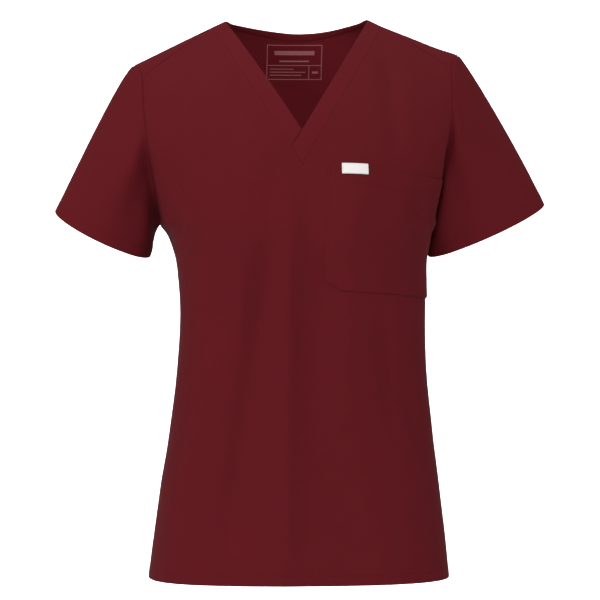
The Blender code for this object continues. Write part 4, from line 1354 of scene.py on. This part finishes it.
def pocket_lines(sizes):
    """Stitching along the pocket's sewn edges and below its mouth, and the bar at the mouth's end."""
    top, bottom, free, _ = pocket_outline()
    rise = sizes.pocket_rise / MM
    middle = np.array(POCKET_MIDDLE)

    def inset(line, distance):
        seen = body_points(*line.T)[:, [0, 2]]
        way = np.gradient(seen, axis=0)
        side = np.stack([-way[:, 1], way[:, 0]], axis=1)
        side /= np.linalg.norm(side, axis=1)[:, None]
        side *= np.sign(((middle - seen) * side).sum(axis=1))[:, None]
        moved = seen + side * distance
        return front_places(moved[:, 0], moved[:, 1])

    stitch = POCKET_GROOVE[0]
    edge = np.concatenate([inset(free, stitch)[1:-2], inset(bottom, stitch)[2:-2]])
    mouth = inset(top, POCKET_MOUTH_GROOVE[0])[1:-4]
    bar = seen_line(*(np.array(POCKET_TOP_CORNER) + np.array(BAR_ENDS)), np.linspace(0.0, 1.0, 12))
    return [
        (*body_line(places, rise + level), share) for places, level, share in
        zip((edge, mouth, bar), POCKET_STITCH_LEVELS, (1.0, 1.0, BAR_STITCH_SHARE))]


def tab_lines(sizes):
    """Short rows of stitches that hold both ends of the woven tab."""
    (left, top), (right, bottom) = TAB_CORNERS
    from_end, from_top, from_bottom = TAB_STITCHES
    fall = np.linspace(from_top, top - bottom - from_bottom, 12)
    lines = []
    for x, drop in ((left + from_end, 0.0), (right - from_end, TAB_SLANT)):
        start, end = (x, top - drop - from_top), (x, bottom - drop + from_bottom)
        places = seen_line(start, end, np.linspace(0.0, 1.0, 12))
        line, normals = body_line(places, 0.0)
        line = line + normals * (sizes.tab_rise / MM + tab_lift(fall))[:, None]
        lines.append((line, normals, TAB_STITCH_SHARE))
    return lines


def sleeve_hem_line(word, sizes):
    """The stitching line of a sleeve's hem."""
    moved, normals, _ = sleeve_sheet(word, sizes)
    row = -1 - STITCH_ROW
    moved, normals = (np.concatenate([values[row], values[row, :1]]) for values in (moved, normals))
    return moved + SLEEVE_STITCH_LEVEL * normals, normals


# Materials

# Plain printed rules and bars inside the back: left, right, bottom and top, in millimetres
PRINT_BARS = (
    (-30.4, -29.6, -59.7, -20.2), (33.8, 34.6, -59.7, -20.2), (-29.6, 33.8, -21.0, -20.2),
    (-29.6, 33.8, -59.7, -58.9), (-29.6, 33.8, -43.7, -42.9), (19.2, 20.0, -58.9, -43.7),
    (-21.4, 25.6, -31.6, -26.9), (-15.4, 19.6, -39.3, -37.7), (-26.4, 1.6, -47.9, -47.1),
    (-26.4, 15.6, -51.4, -50.5), (-26.4, 10.6, -54.9, -54.0), (23.4, 30.4, -52.4, -50.1),
)


class Value:
    """A socket that carries a number over a surface, written in ordinary arithmetic."""

    def __init__(self, finish, socket):
        self.finish = finish
        self.socket = socket

    def math(self, operation, *values):
        return self.finish.add("ShaderNodeMath", {"operation": operation}, dict(enumerate(values)))

    def __add__(self, other):
        return self.math("ADD", self, other)

    def __sub__(self, other):
        return self.math("SUBTRACT", self, other)

    def __rsub__(self, other):
        return self.math("SUBTRACT", other, self)

    def __mul__(self, other):
        return self.math("MULTIPLY", self, other)

    __radd__ = __add__
    __rmul__ = __mul__

    def waves(self, pitch):
        """Waves between -1 and 1 over the number, one in each pitch."""
        return self.math("SINE", self * (2.0 * math.pi / pitch))

    def within(self, middle, reach):
        """1 where the number is no further than a reach from a middle, 0 elsewhere."""
        return self.math("COMPARE", self, middle, reach)

    def clamped(self):
        return self.finish.add("ShaderNodeClamp", {}, {0: self})


class Finish:
    """A material and the nodes that make it."""

    def __init__(self, name, roughness, sheen=0.0, sheen_tint=(1.0, 1.0, 1.0), specular=0.3):
        self.material = bpy.data.materials.new(name)
        self.material.use_nodes = True
        self.tree = self.material.node_tree
        self.shader = self.tree.nodes["Principled BSDF"]
        self.shader.inputs["Roughness"].default_value = roughness
        self.shader.inputs["Specular IOR Level"].default_value = specular
        self.shader.inputs["Sheen Weight"].default_value = sheen
        self.shader.inputs["Sheen Roughness"].default_value = 0.45
        self.shader.inputs["Sheen Tint"].default_value = (*sheen_tint, 1.0)

    def set_socket(self, socket, value):
        """Links a socket or sets its number."""
        if isinstance(value, Value):
            self.tree.links.new(value.socket, socket)
        else:
            socket.default_value = value

    def add(self, kind, settings, sockets, output=0):
        """A node of a type with its settings and the values or links of its sockets."""
        node = self.tree.nodes.new(kind)
        for name, value in settings.items():
            setattr(node, name, value)
        for key, value in sockets.items():
            self.set_socket(node.inputs[key], value)
        return Value(self, node.outputs[output])

    def feed(self, name, value):
        """Links a value to one of the shader's sockets."""
        self.set_socket(self.shader.inputs[name], value)

    def place(self, kind):
        """A point's three numbers: its place on the flat cloth, in metres, or in the object."""
        if kind == "cloth":
            place = self.add("ShaderNodeAttribute", {"attribute_name": "cloth"}, {}, "Vector")
        else:
            place = self.add("ShaderNodeTexCoord", {}, {}, "Object")
        split = self.tree.nodes.new("ShaderNodeSeparateXYZ")
        self.set_socket(split.inputs[0], place)
        return [Value(self, output) for output in split.outputs]

    def noise(self, scale, detail=2.0, roughness=0.5):
        """Noise over the piece's own place, about 0.5 on average."""
        place = self.add("ShaderNodeTexCoord", {}, {}, "Object")
        sockets = {"Vector": place, "Scale": scale, "Detail": detail, "Roughness": roughness}
        return self.add("ShaderNodeTexNoise", {}, sockets)

    def mixed(self, share, first, second):
        """A colour between two."""
        return self.add(
            "ShaderNodeMix", {"data_type": "RGBA"},
            {0: share, 6: first if isinstance(first, Value) else (*first, 1.0),
             7: second if isinstance(second, Value) else (*second, 1.0)}, 2)

    def bump(self, height, distance, strength):
        """A Bump node over a height from 0 to 1."""
        self.feed("Normal", self.add(
            "ShaderNodeBump", {}, {"Strength": strength, "Distance": distance, "Height": height}))


# How much of the cloth's unevenness comes from its weave, its single fibres and slow changes of shade, and
# how dark and how light that makes it
SHADE_SHARES = (0.34, 0.30, 0.36)
DARKEST = 0.80
LIGHTEST = 1.20


def shaded(colour, factor):
    """A colour made lighter or darker."""
    return tuple(channel * factor for channel in colour)


def twill(finish, pitch):
    """The diagonal ribs of twill and its single threads, from 0 to 1."""
    across, along, _ = finish.place("cloth")
    ribs = (across + along).waves(pitch) * 0.5 + 0.5
    threads = across.waves(pitch * 0.55) * along.waves(pitch * 0.45) * 0.5 + 0.5
    return ribs * 0.65 + threads * 0.35


def cloth_finish(name, colours, sizes, painted_light_factor=1.0):
    """Matte dyed twill with fine ribs, fibres and slow changes of shade; a factor above 1 is painted light.
    """
    finish = Finish(
        name, roughness=0.86, sheen=colours.sheen, sheen_tint=tuple(colours.sheen_tint), specular=0.05)
    weave = twill(finish, sizes.twill_pitch)
    fibres = finish.noise(scale=1400.0, detail=3.0, roughness=0.6)
    shade = finish.noise(scale=14.0, detail=3.0, roughness=0.55)
    weave_share, fibre_share, shade_share = SHADE_SHARES
    share = (weave * weave_share + fibres * fibre_share + shade * shade_share).clamped()
    # Painted light: the cloth's colour times a factor, above 1 for pieces painted lighter than the cloth
    base = shaded(tuple(colours.cloth), painted_light_factor)
    colour = finish.mixed(share, shaded(base, DARKEST), shaded(base, LIGHTEST))
    finish.feed("Base Color", colour)
    finish.feed("Roughness", 0.82 + 0.1 * fibres)
    finish.bump(weave * 0.6 + fibres * 0.4, distance=0.00009, strength=0.7)
    return finish, colour


def inside_back_finish(colours, sizes):
    """Inside of the back: cloth painted lighter as painted light; a plain printed box of rules and bars below
    the neck.
    """
    # Painted light: the inside's cloth is 1.7 times lighter than the outside's, standing in for light in its
    # shade
    finish, colour = cloth_finish("twill_inside_back_painted_lighter", colours, sizes, painted_light_factor=1.7)
    across, _, height = finish.place("object")
    mask = 0.0
    for left, right, bottom, top in PRINT_BARS:
        bar = across.within((left + right) * MM / 2.0, (right - left) * MM / 2.0)
        mask = bar * height.within((bottom + top) * MM / 2.0, (top - bottom) * MM / 2.0) + mask
    worn = finish.noise(scale=900.0)
    mask = mask.clamped() * (0.55 + 0.6 * worn).clamped()
    finish.feed("Base Color", finish.mixed(mask * 0.8, colour, tuple(colours.print)))
    return finish.material


def thread_finish(name, colour):
    """Twisted sewing thread."""
    finish = Finish(name, roughness=0.75, specular=0.08)
    twist = finish.noise(scale=2600.0, detail=1.0)
    finish.feed("Base Color", finish.mixed(twist, shaded(colour, 0.75), shaded(colour, 1.3)))
    finish.bump(twist, distance=0.00008, strength=0.8)
    return finish.material


def tab_finish(colours):
    """A woven off-white tab with fine cross ribs and a denser border."""
    finish = Finish("woven_tab", roughness=0.55, sheen=0.15, specular=0.35)
    across, along, edge = finish.place("cloth")
    ribs = along.waves(pitch=0.00042) * 0.5 + 0.5
    cross = across.waves(pitch=0.0005) * 0.5 + 0.5
    fibres = finish.noise(scale=1800.0)
    border = 1.0 - (edge * 1000.0 - 1.2).clamped()
    base = tuple(colours.tab)
    share = (ribs * 0.4 + cross * 0.2 + fibres * 0.4).clamped()
    colour = finish.mixed(share, shaded(base, 0.88), shaded(base, 1.08))
    finish.feed("Base Color", finish.mixed(border * 0.35, colour, shaded(base, 0.8)))
    finish.bump(ribs * 0.6 + cross * 0.4, distance=0.00008, strength=0.8)
    return finish.material


def floor_finish(colours):
    """Plain pale paper for the floor and backdrop."""
    finish = Finish("studio_paper", roughness=0.9, specular=0.2)
    grain = finish.noise(scale=60.0, detail=3.0)
    base = tuple(colours.floor)
    finish.feed("Base Color", finish.mixed(grain, shaded(base, 0.985), base))
    return finish.material


# Settings

class TopSizes(bpy.types.PropertyGroup):
    """Sizes of the cloth, its hems, seams and stitches."""

    cloth_thickness: FloatProperty(
        name="Cloth thickness", description="Thickness of the panels' cloth", default=0.0006, min=0.0002,
        unit="LENGTH")
    band_thickness: FloatProperty(
        name="Band cloth thickness", description="Thickness of one layer of the neckbands", default=0.0005,
        min=0.0002, unit="LENGTH")
    band_rise: FloatProperty(
        name="Band rise", description="How far the neckbands stand proud of the panels", default=0.0003,
        unit="LENGTH")
    pocket_thickness: FloatProperty(
        name="Pocket thickness", description="Thickness of the pocket's cloth", default=0.0005, min=0.0002,
        unit="LENGTH")
    pocket_rise: FloatProperty(
        name="Pocket rise", description="How far the pocket's face lies above the front", default=0.00062,
        unit="LENGTH")
    tab_rise: FloatProperty(
        name="Tab rise", description="How far the woven tab's face lies above the front", default=0.0020,
        unit="LENGTH")
    seam_depth: FloatProperty(
        name="Seam depth", description="How deep the cloth is drawn in at a seam", default=0.0010,
        unit="LENGTH")
    seam_width: FloatProperty(
        name="Seam width", description="How far from a seam the cloth starts to be drawn in", default=0.0028,
        unit="LENGTH")
    pucker_height: FloatProperty(
        name="Pucker height", description="Height of the small waves along seams and hems", default=0.00016,
        unit="LENGTH")
    hem_width: FloatProperty(
        name="Hem width", description="Depth of the turned-up hem", default=0.0125, unit="LENGTH")
    sleeve_hem_width: FloatProperty(
        name="Sleeve hem width", description="Depth of the sleeves' hems", default=0.0145, unit="LENGTH")
    stitch_length: FloatProperty(
        name="Stitch length", description="Length of a stitch that shows", default=0.0023, unit="LENGTH")
    stitch_pitch: FloatProperty(
        name="Stitch pitch", description="Distance from one stitch to the next", default=0.0029,
        unit="LENGTH")
    stitch_thickness: FloatProperty(
        name="Thread thickness", description="Thickness of the sewing thread", default=0.0004,
        unit="LENGTH")
    twill_pitch: FloatProperty(
        name="Twill pitch", description="Distance between the ribs of the weave", default=0.0010,
        unit="LENGTH")
    mesh_spacing: FloatProperty(
        name="Mesh spacing", description="Usual distance between the rows of the cloth's mesh", default=0.003,
        min=0.0015, unit="LENGTH")


class TopColours(bpy.types.PropertyGroup):
    """Colours of the cloth, thread, tab and floor."""

    cloth: FloatVectorProperty(
        name="Cloth", description="Colour of the dyed cloth", subtype="COLOR", size=3,
        default=(0.090, 0.0069, 0.0100))
    sheen_tint: FloatVectorProperty(
        name="Sheen tint", description="Colour of the cloth's fine fuzz at grazing angles", subtype="COLOR",
        size=3, default=(0.75, 0.42, 0.42))
    sheen: FloatProperty(
        name="Sheen", description="Strength of the fuzz", subtype="FACTOR", min=0.0, max=1.0, default=0.02)
    thread: FloatVectorProperty(
        name="Thread", description="Colour of the sewing thread", subtype="COLOR", size=3,
        default=(0.105, 0.0080, 0.0115))
    tab: FloatVectorProperty(
        name="Tab", description="Colour of the woven tab", subtype="COLOR", size=3,
        default=(0.70, 0.69, 0.67))
    print: FloatVectorProperty(
        name="Print", description="Colour of the plain printed grid inside the back", subtype="COLOR", size=3,
        default=(0.52, 0.21, 0.22))
    floor: FloatVectorProperty(
        name="Floor", description="Colour of the floor and backdrop", subtype="COLOR", size=3,
        default=(0.92, 0.92, 0.92))


def cloth_materials(context, word):
    """The outer and inner material of a cloth piece, made once for each name."""
    colours, sizes = context.scene.tunic_colours, context.scene.tunic_sizes
    outer = bpy.data.materials.get("twill") or cloth_finish("twill", colours, sizes)[0].material
    if word == "back":
        return [outer, bpy.data.materials.get("twill_inside_back_painted_lighter") or inside_back_finish(colours, sizes)]
    return [outer]


def thread_material(context):
    """The sewing thread's material, made once."""
    colour = tuple(context.scene.tunic_colours.thread)
    return bpy.data.materials.get("thread") or thread_finish("thread", colour)


def matched_thread_material(context):
    """Thread of the cloth's own colour, for the pocket."""
    return thread_finish("matched_thread", tuple(context.scene.tunic_colours.cloth))


class TUNIC_OT_panels(bpy.types.Operator):
    """Model the front and the back with their turned-up hems and side and shoulder seams"""

    bl_idname = "tunic.panels"
    bl_label = "Front and Back"

    def execute(self, context):
        sizes = context.scene.tunic_sizes
        for face in ("front", "back"):
            panel(face, sizes, cloth_materials(context, face))
        return {"FINISHED"}


class TUNIC_OT_sleeves(bpy.types.Operator):
    """Model both short sleeves with their hems"""

    bl_idname = "tunic.sleeves"
    bl_label = "Sleeves"

    def execute(self, context):
        for word in SLEEVES:
            sleeve(word, context.scene.tunic_sizes, cloth_materials(context, "sleeve"))
        return {"FINISHED"}


class TUNIC_OT_neckline(bpy.types.Operator):
    """Model the folded neckbands and the tape inside the back neckline"""

    bl_idname = "tunic.neckline"
    bl_label = "Neckline"

    def execute(self, context):
        sizes, colours = context.scene.tunic_sizes, context.scene.tunic_colours
        # Painted highlight: the neckbands' cloth is painted 3% lighter than the panels' cloth
        band = cloth_finish("twill_band", colours, sizes, painted_light_factor=1.03)[0].material
        # Painted light: the neck tape's cloth is 1.5 times lighter, standing in for light where it lies in
        # shade
        tape = cloth_finish("neck_tape", colours, sizes, painted_light_factor=1.5)[0].material
        for side in SIDES:
            neckband(side, sizes, band)
        back_tape(tape)
        return {"FINISHED"}


class TUNIC_OT_pocket(bpy.types.Operator):
    """Model the chest pocket and the blank woven tab at its mouth"""

    bl_idname = "tunic.pocket"
    bl_label = "Chest Pocket"

    def execute(self, context):
        sizes = context.scene.tunic_sizes
        pocket(sizes, cloth_materials(context, "pocket"))
        tab(sizes, tab_finish(context.scene.tunic_colours))
        return {"FINISHED"}


class TUNIC_OT_allowances(bpy.types.Operator):
    """Model the seam allowances inside the side, shoulder, armhole and neck seams"""

    bl_idname = "tunic.allowances"
    bl_label = "Seam Allowances"

    def execute(self, context):
        material = cloth_materials(context, "allowance")[0]
        for word, strip in STRIPS.items():
            allowances(f"{word}_allowances", strip, context.scene.tunic_sizes, material)
        return {"FINISHED"}


class TUNIC_OT_stitching(bpy.types.Operator):
    """Model every row of stitches that shows"""

    bl_idname = "tunic.stitching"
    bl_label = "Stitching"

    def execute(self, context):
        sizes, thread = context.scene.tunic_sizes, thread_material(context)
        stitched("front_stitches", [(*hem_line("front", sizes), 1.0)], sizes, thread)
        back_lines = [hem_line("back", sizes), tape_line(), *(shoulder_line(side) for side in SIDES)]
        stitched("back_stitches", [(*line, 1.0) for line in back_lines], sizes, thread)
        for word in SLEEVES:
            stitched(f"sleeve_stitches_{word}", [(*sleeve_hem_line(word, sizes), 1.0)], sizes, thread)
        stitched("pocket_stitches", pocket_lines(sizes), sizes, matched_thread_material(context))
        pale = thread_finish("tab_thread", tuple(context.scene.tunic_colours.tab))
        stitched("tab_stitches", tab_lines(sizes), sizes, pale)
        return {"FINISHED"}


class TUNIC_OT_cloth_facts(bpy.types.Operator):
    """Do nothing; no sizes of the cloth are stated"""

    bl_idname = "tunic.cloth_facts"
    bl_label = "Cloth Facts"

    def execute(self, context):
        return {"FINISHED"}


# The kinds of seam allowance and the functions that give their places
STRIPS = {
    "side": side_strip,
    "shoulder": shoulder_strip,
    "armhole": armhole_strip,
    "neck": neck_strip,
}


# Stage

CAMERA_DISTANCE = 3.0
CAMERA_TURN = math.radians(-3.5)
CAMERA_HEIGHT = -0.32
CAMERA_SIDESTEP = 0.00425
CAMERA_LENS = 156.52
CAMERA_SENSOR = 36.0
CAMERA_CLIP_END = 100.0
FLOOR_BELOW = 0.70
BACKDROP_START = 4.4
BACKDROP_BEND = 1.2
BACKDROP_HALF_WIDTH = 1.8
BACKDROP_TOP = 3.0
FLOOR_FRONT = -5.0
LIT_POINT = (0.0, 0.0, -0.3)
# Large square lights: name, place, what it looks at, size in metres, power in watts
LIGHTS = (
    ("left", (-3.2, -1.0, 0.9), LIT_POINT, 1.2, 46.0),
    ("left_front", (-2.2, -2.6, 0.5), LIT_POINT, 1.2, 26.0),
    ("front", (-0.2, -3.1, 1.1), LIT_POINT, 1.2, 46.0),
    ("right", (2.9, -1.5, 0.45), LIT_POINT, 1.2, 29.0),
    ("top", (0.1, 0.2, 2.0), LIT_POINT, 1.4, 24.0),
    ("backdrop", (0.0, 3.0, 1.6), (0.0, 5.6, -0.5), 2.4, 260.0),
)
WORLD_STRENGTH = 0.30


def backdrop(material):
    """A floor that curves up into a backdrop."""
    floor_height = CAD_BOX[0][2] - FLOOR_BELOW
    arc = [math.radians(angle) for angle in range(0, 91, 6)]
    profile = [(FLOOR_FRONT, floor_height)]
    for angle in arc:
        away = BACKDROP_START + BACKDROP_BEND * math.sin(angle)
        profile.append((away, floor_height + BACKDROP_BEND * (1.0 - math.cos(angle))))
    profile.append((BACKDROP_START + BACKDROP_BEND, BACKDROP_TOP))
    mesh = bmesh.new()
    grid = bmesh.ops.create_grid(mesh, x_segments=1, y_segments=len(profile) - 1, size=1.0)["verts"]
    for vertex in grid:
        row = round((vertex.co.y + 1.0) / 2.0 * (len(profile) - 1))
        vertex.co = (vertex.co.x * BACKDROP_HALF_WIDTH, *profile[row])
    bmesh.ops.recalc_face_normals(mesh, faces=mesh.faces)
    data = bpy.data.meshes.new("backdrop")
    mesh.to_mesh(data)
    mesh.free()
    data.shade_smooth()
    data.materials.append(material)
    stage = bpy.data.objects.new("backdrop", data)
    bpy.context.scene.collection.objects.link(stage)


def soft_light(name, place, target, size, power):
    """A large square light that looks at a point."""
    light = bpy.data.lights.new(name, "AREA")
    light.shape = "SQUARE"
    light.size = size
    light.energy = power
    lamp = bpy.data.objects.new(name, light)
    lamp.location = place
    lamp.rotation_euler = (Vector(target) - Vector(place)).to_track_quat("-Z", "Y").to_euler()
    bpy.context.scene.collection.objects.link(lamp)


def add_camera(scene):
    """The camera, which looks level at the front, from a little to the wearer's right."""
    lens = bpy.data.cameras.new("camera")
    lens.lens = CAMERA_LENS
    lens.sensor_width = CAMERA_SENSOR
    lens.clip_end = CAMERA_CLIP_END
    camera = bpy.data.objects.new("camera", lens)
    sideways = Vector((math.cos(CAMERA_TURN), math.sin(CAMERA_TURN), 0.0))
    back = Vector((math.sin(CAMERA_TURN), -math.cos(CAMERA_TURN), 0.0))
    camera.location = back * CAMERA_DISTANCE + sideways * CAMERA_SIDESTEP
    camera.location.z = CAMERA_HEIGHT
    camera.rotation_euler = (-back).to_track_quat("-Z", "Y").to_euler()
    scene.collection.objects.link(camera)
    scene.camera = camera


class TUNIC_OT_stage(bpy.types.Operator):
    """Set up the floor, the soft light and the camera"""

    bl_idname = "tunic.stage"
    bl_label = "Stage"

    def execute(self, context):
        backdrop(floor_finish(context.scene.tunic_colours))
        for light in LIGHTS:
            soft_light(*light)
        world = bpy.data.worlds.new("studio")
        world.use_nodes = True
        sky = world.node_tree.nodes["Background"].inputs
        sky["Color"].default_value = (1.0, 1.0, 1.0, 1.0)
        sky["Strength"].default_value = WORLD_STRENGTH
        context.scene.world = world
        context.scene.view_settings.view_transform = "Standard"
        add_camera(context.scene)
        return {"FINISHED"}


class TUNIC_PT_panel(bpy.types.Panel):
    """Lists the tunic top's sizes, colours and pieces"""

    bl_idname = "TUNIC_PT_panel"
    bl_label = "Tunic Top"
    bl_space_type = "VIEW_3D"
    bl_region_type = "UI"
    bl_category = "Tunic Top"

    def draw(self, context):
        layout = self.layout
        for settings in (context.scene.tunic_sizes, context.scene.tunic_colours):
            column = layout.column(align=True)
            for name in settings.__annotations__:
                column.prop(settings, name)
        for operator in OPERATORS:
            layout.operator(operator.bl_idname)


OPERATORS = (
    TUNIC_OT_panels, TUNIC_OT_sleeves, TUNIC_OT_neckline, TUNIC_OT_pocket, TUNIC_OT_allowances,
    TUNIC_OT_stitching, TUNIC_OT_cloth_facts, TUNIC_OT_stage)
CLASSES = (TopSizes, TopColours, *OPERATORS, TUNIC_PT_panel)


def register():
    """Registers the classes and the settings."""
    for cls in CLASSES:
        bpy.utils.register_class(cls)
    bpy.types.Scene.tunic_sizes = PointerProperty(type=TopSizes)
    bpy.types.Scene.tunic_colours = PointerProperty(type=TopColours)


def unregister():
    """Removes the settings and the classes."""
    del bpy.types.Scene.tunic_colours
    del bpy.types.Scene.tunic_sizes
    for cls in reversed(CLASSES):
        bpy.utils.unregister_class(cls)


def main():
    """Builds the whole garment."""
    register()
    bpy.ops.tunic.panels()
    bpy.ops.tunic.sleeves()
    bpy.ops.tunic.neckline()
    bpy.ops.tunic.pocket()
    bpy.ops.tunic.allowances()
    bpy.ops.tunic.stitching()
    bpy.ops.tunic.cloth_facts()
    bpy.ops.tunic.stage()


if __name__ == "__main__":
    main()
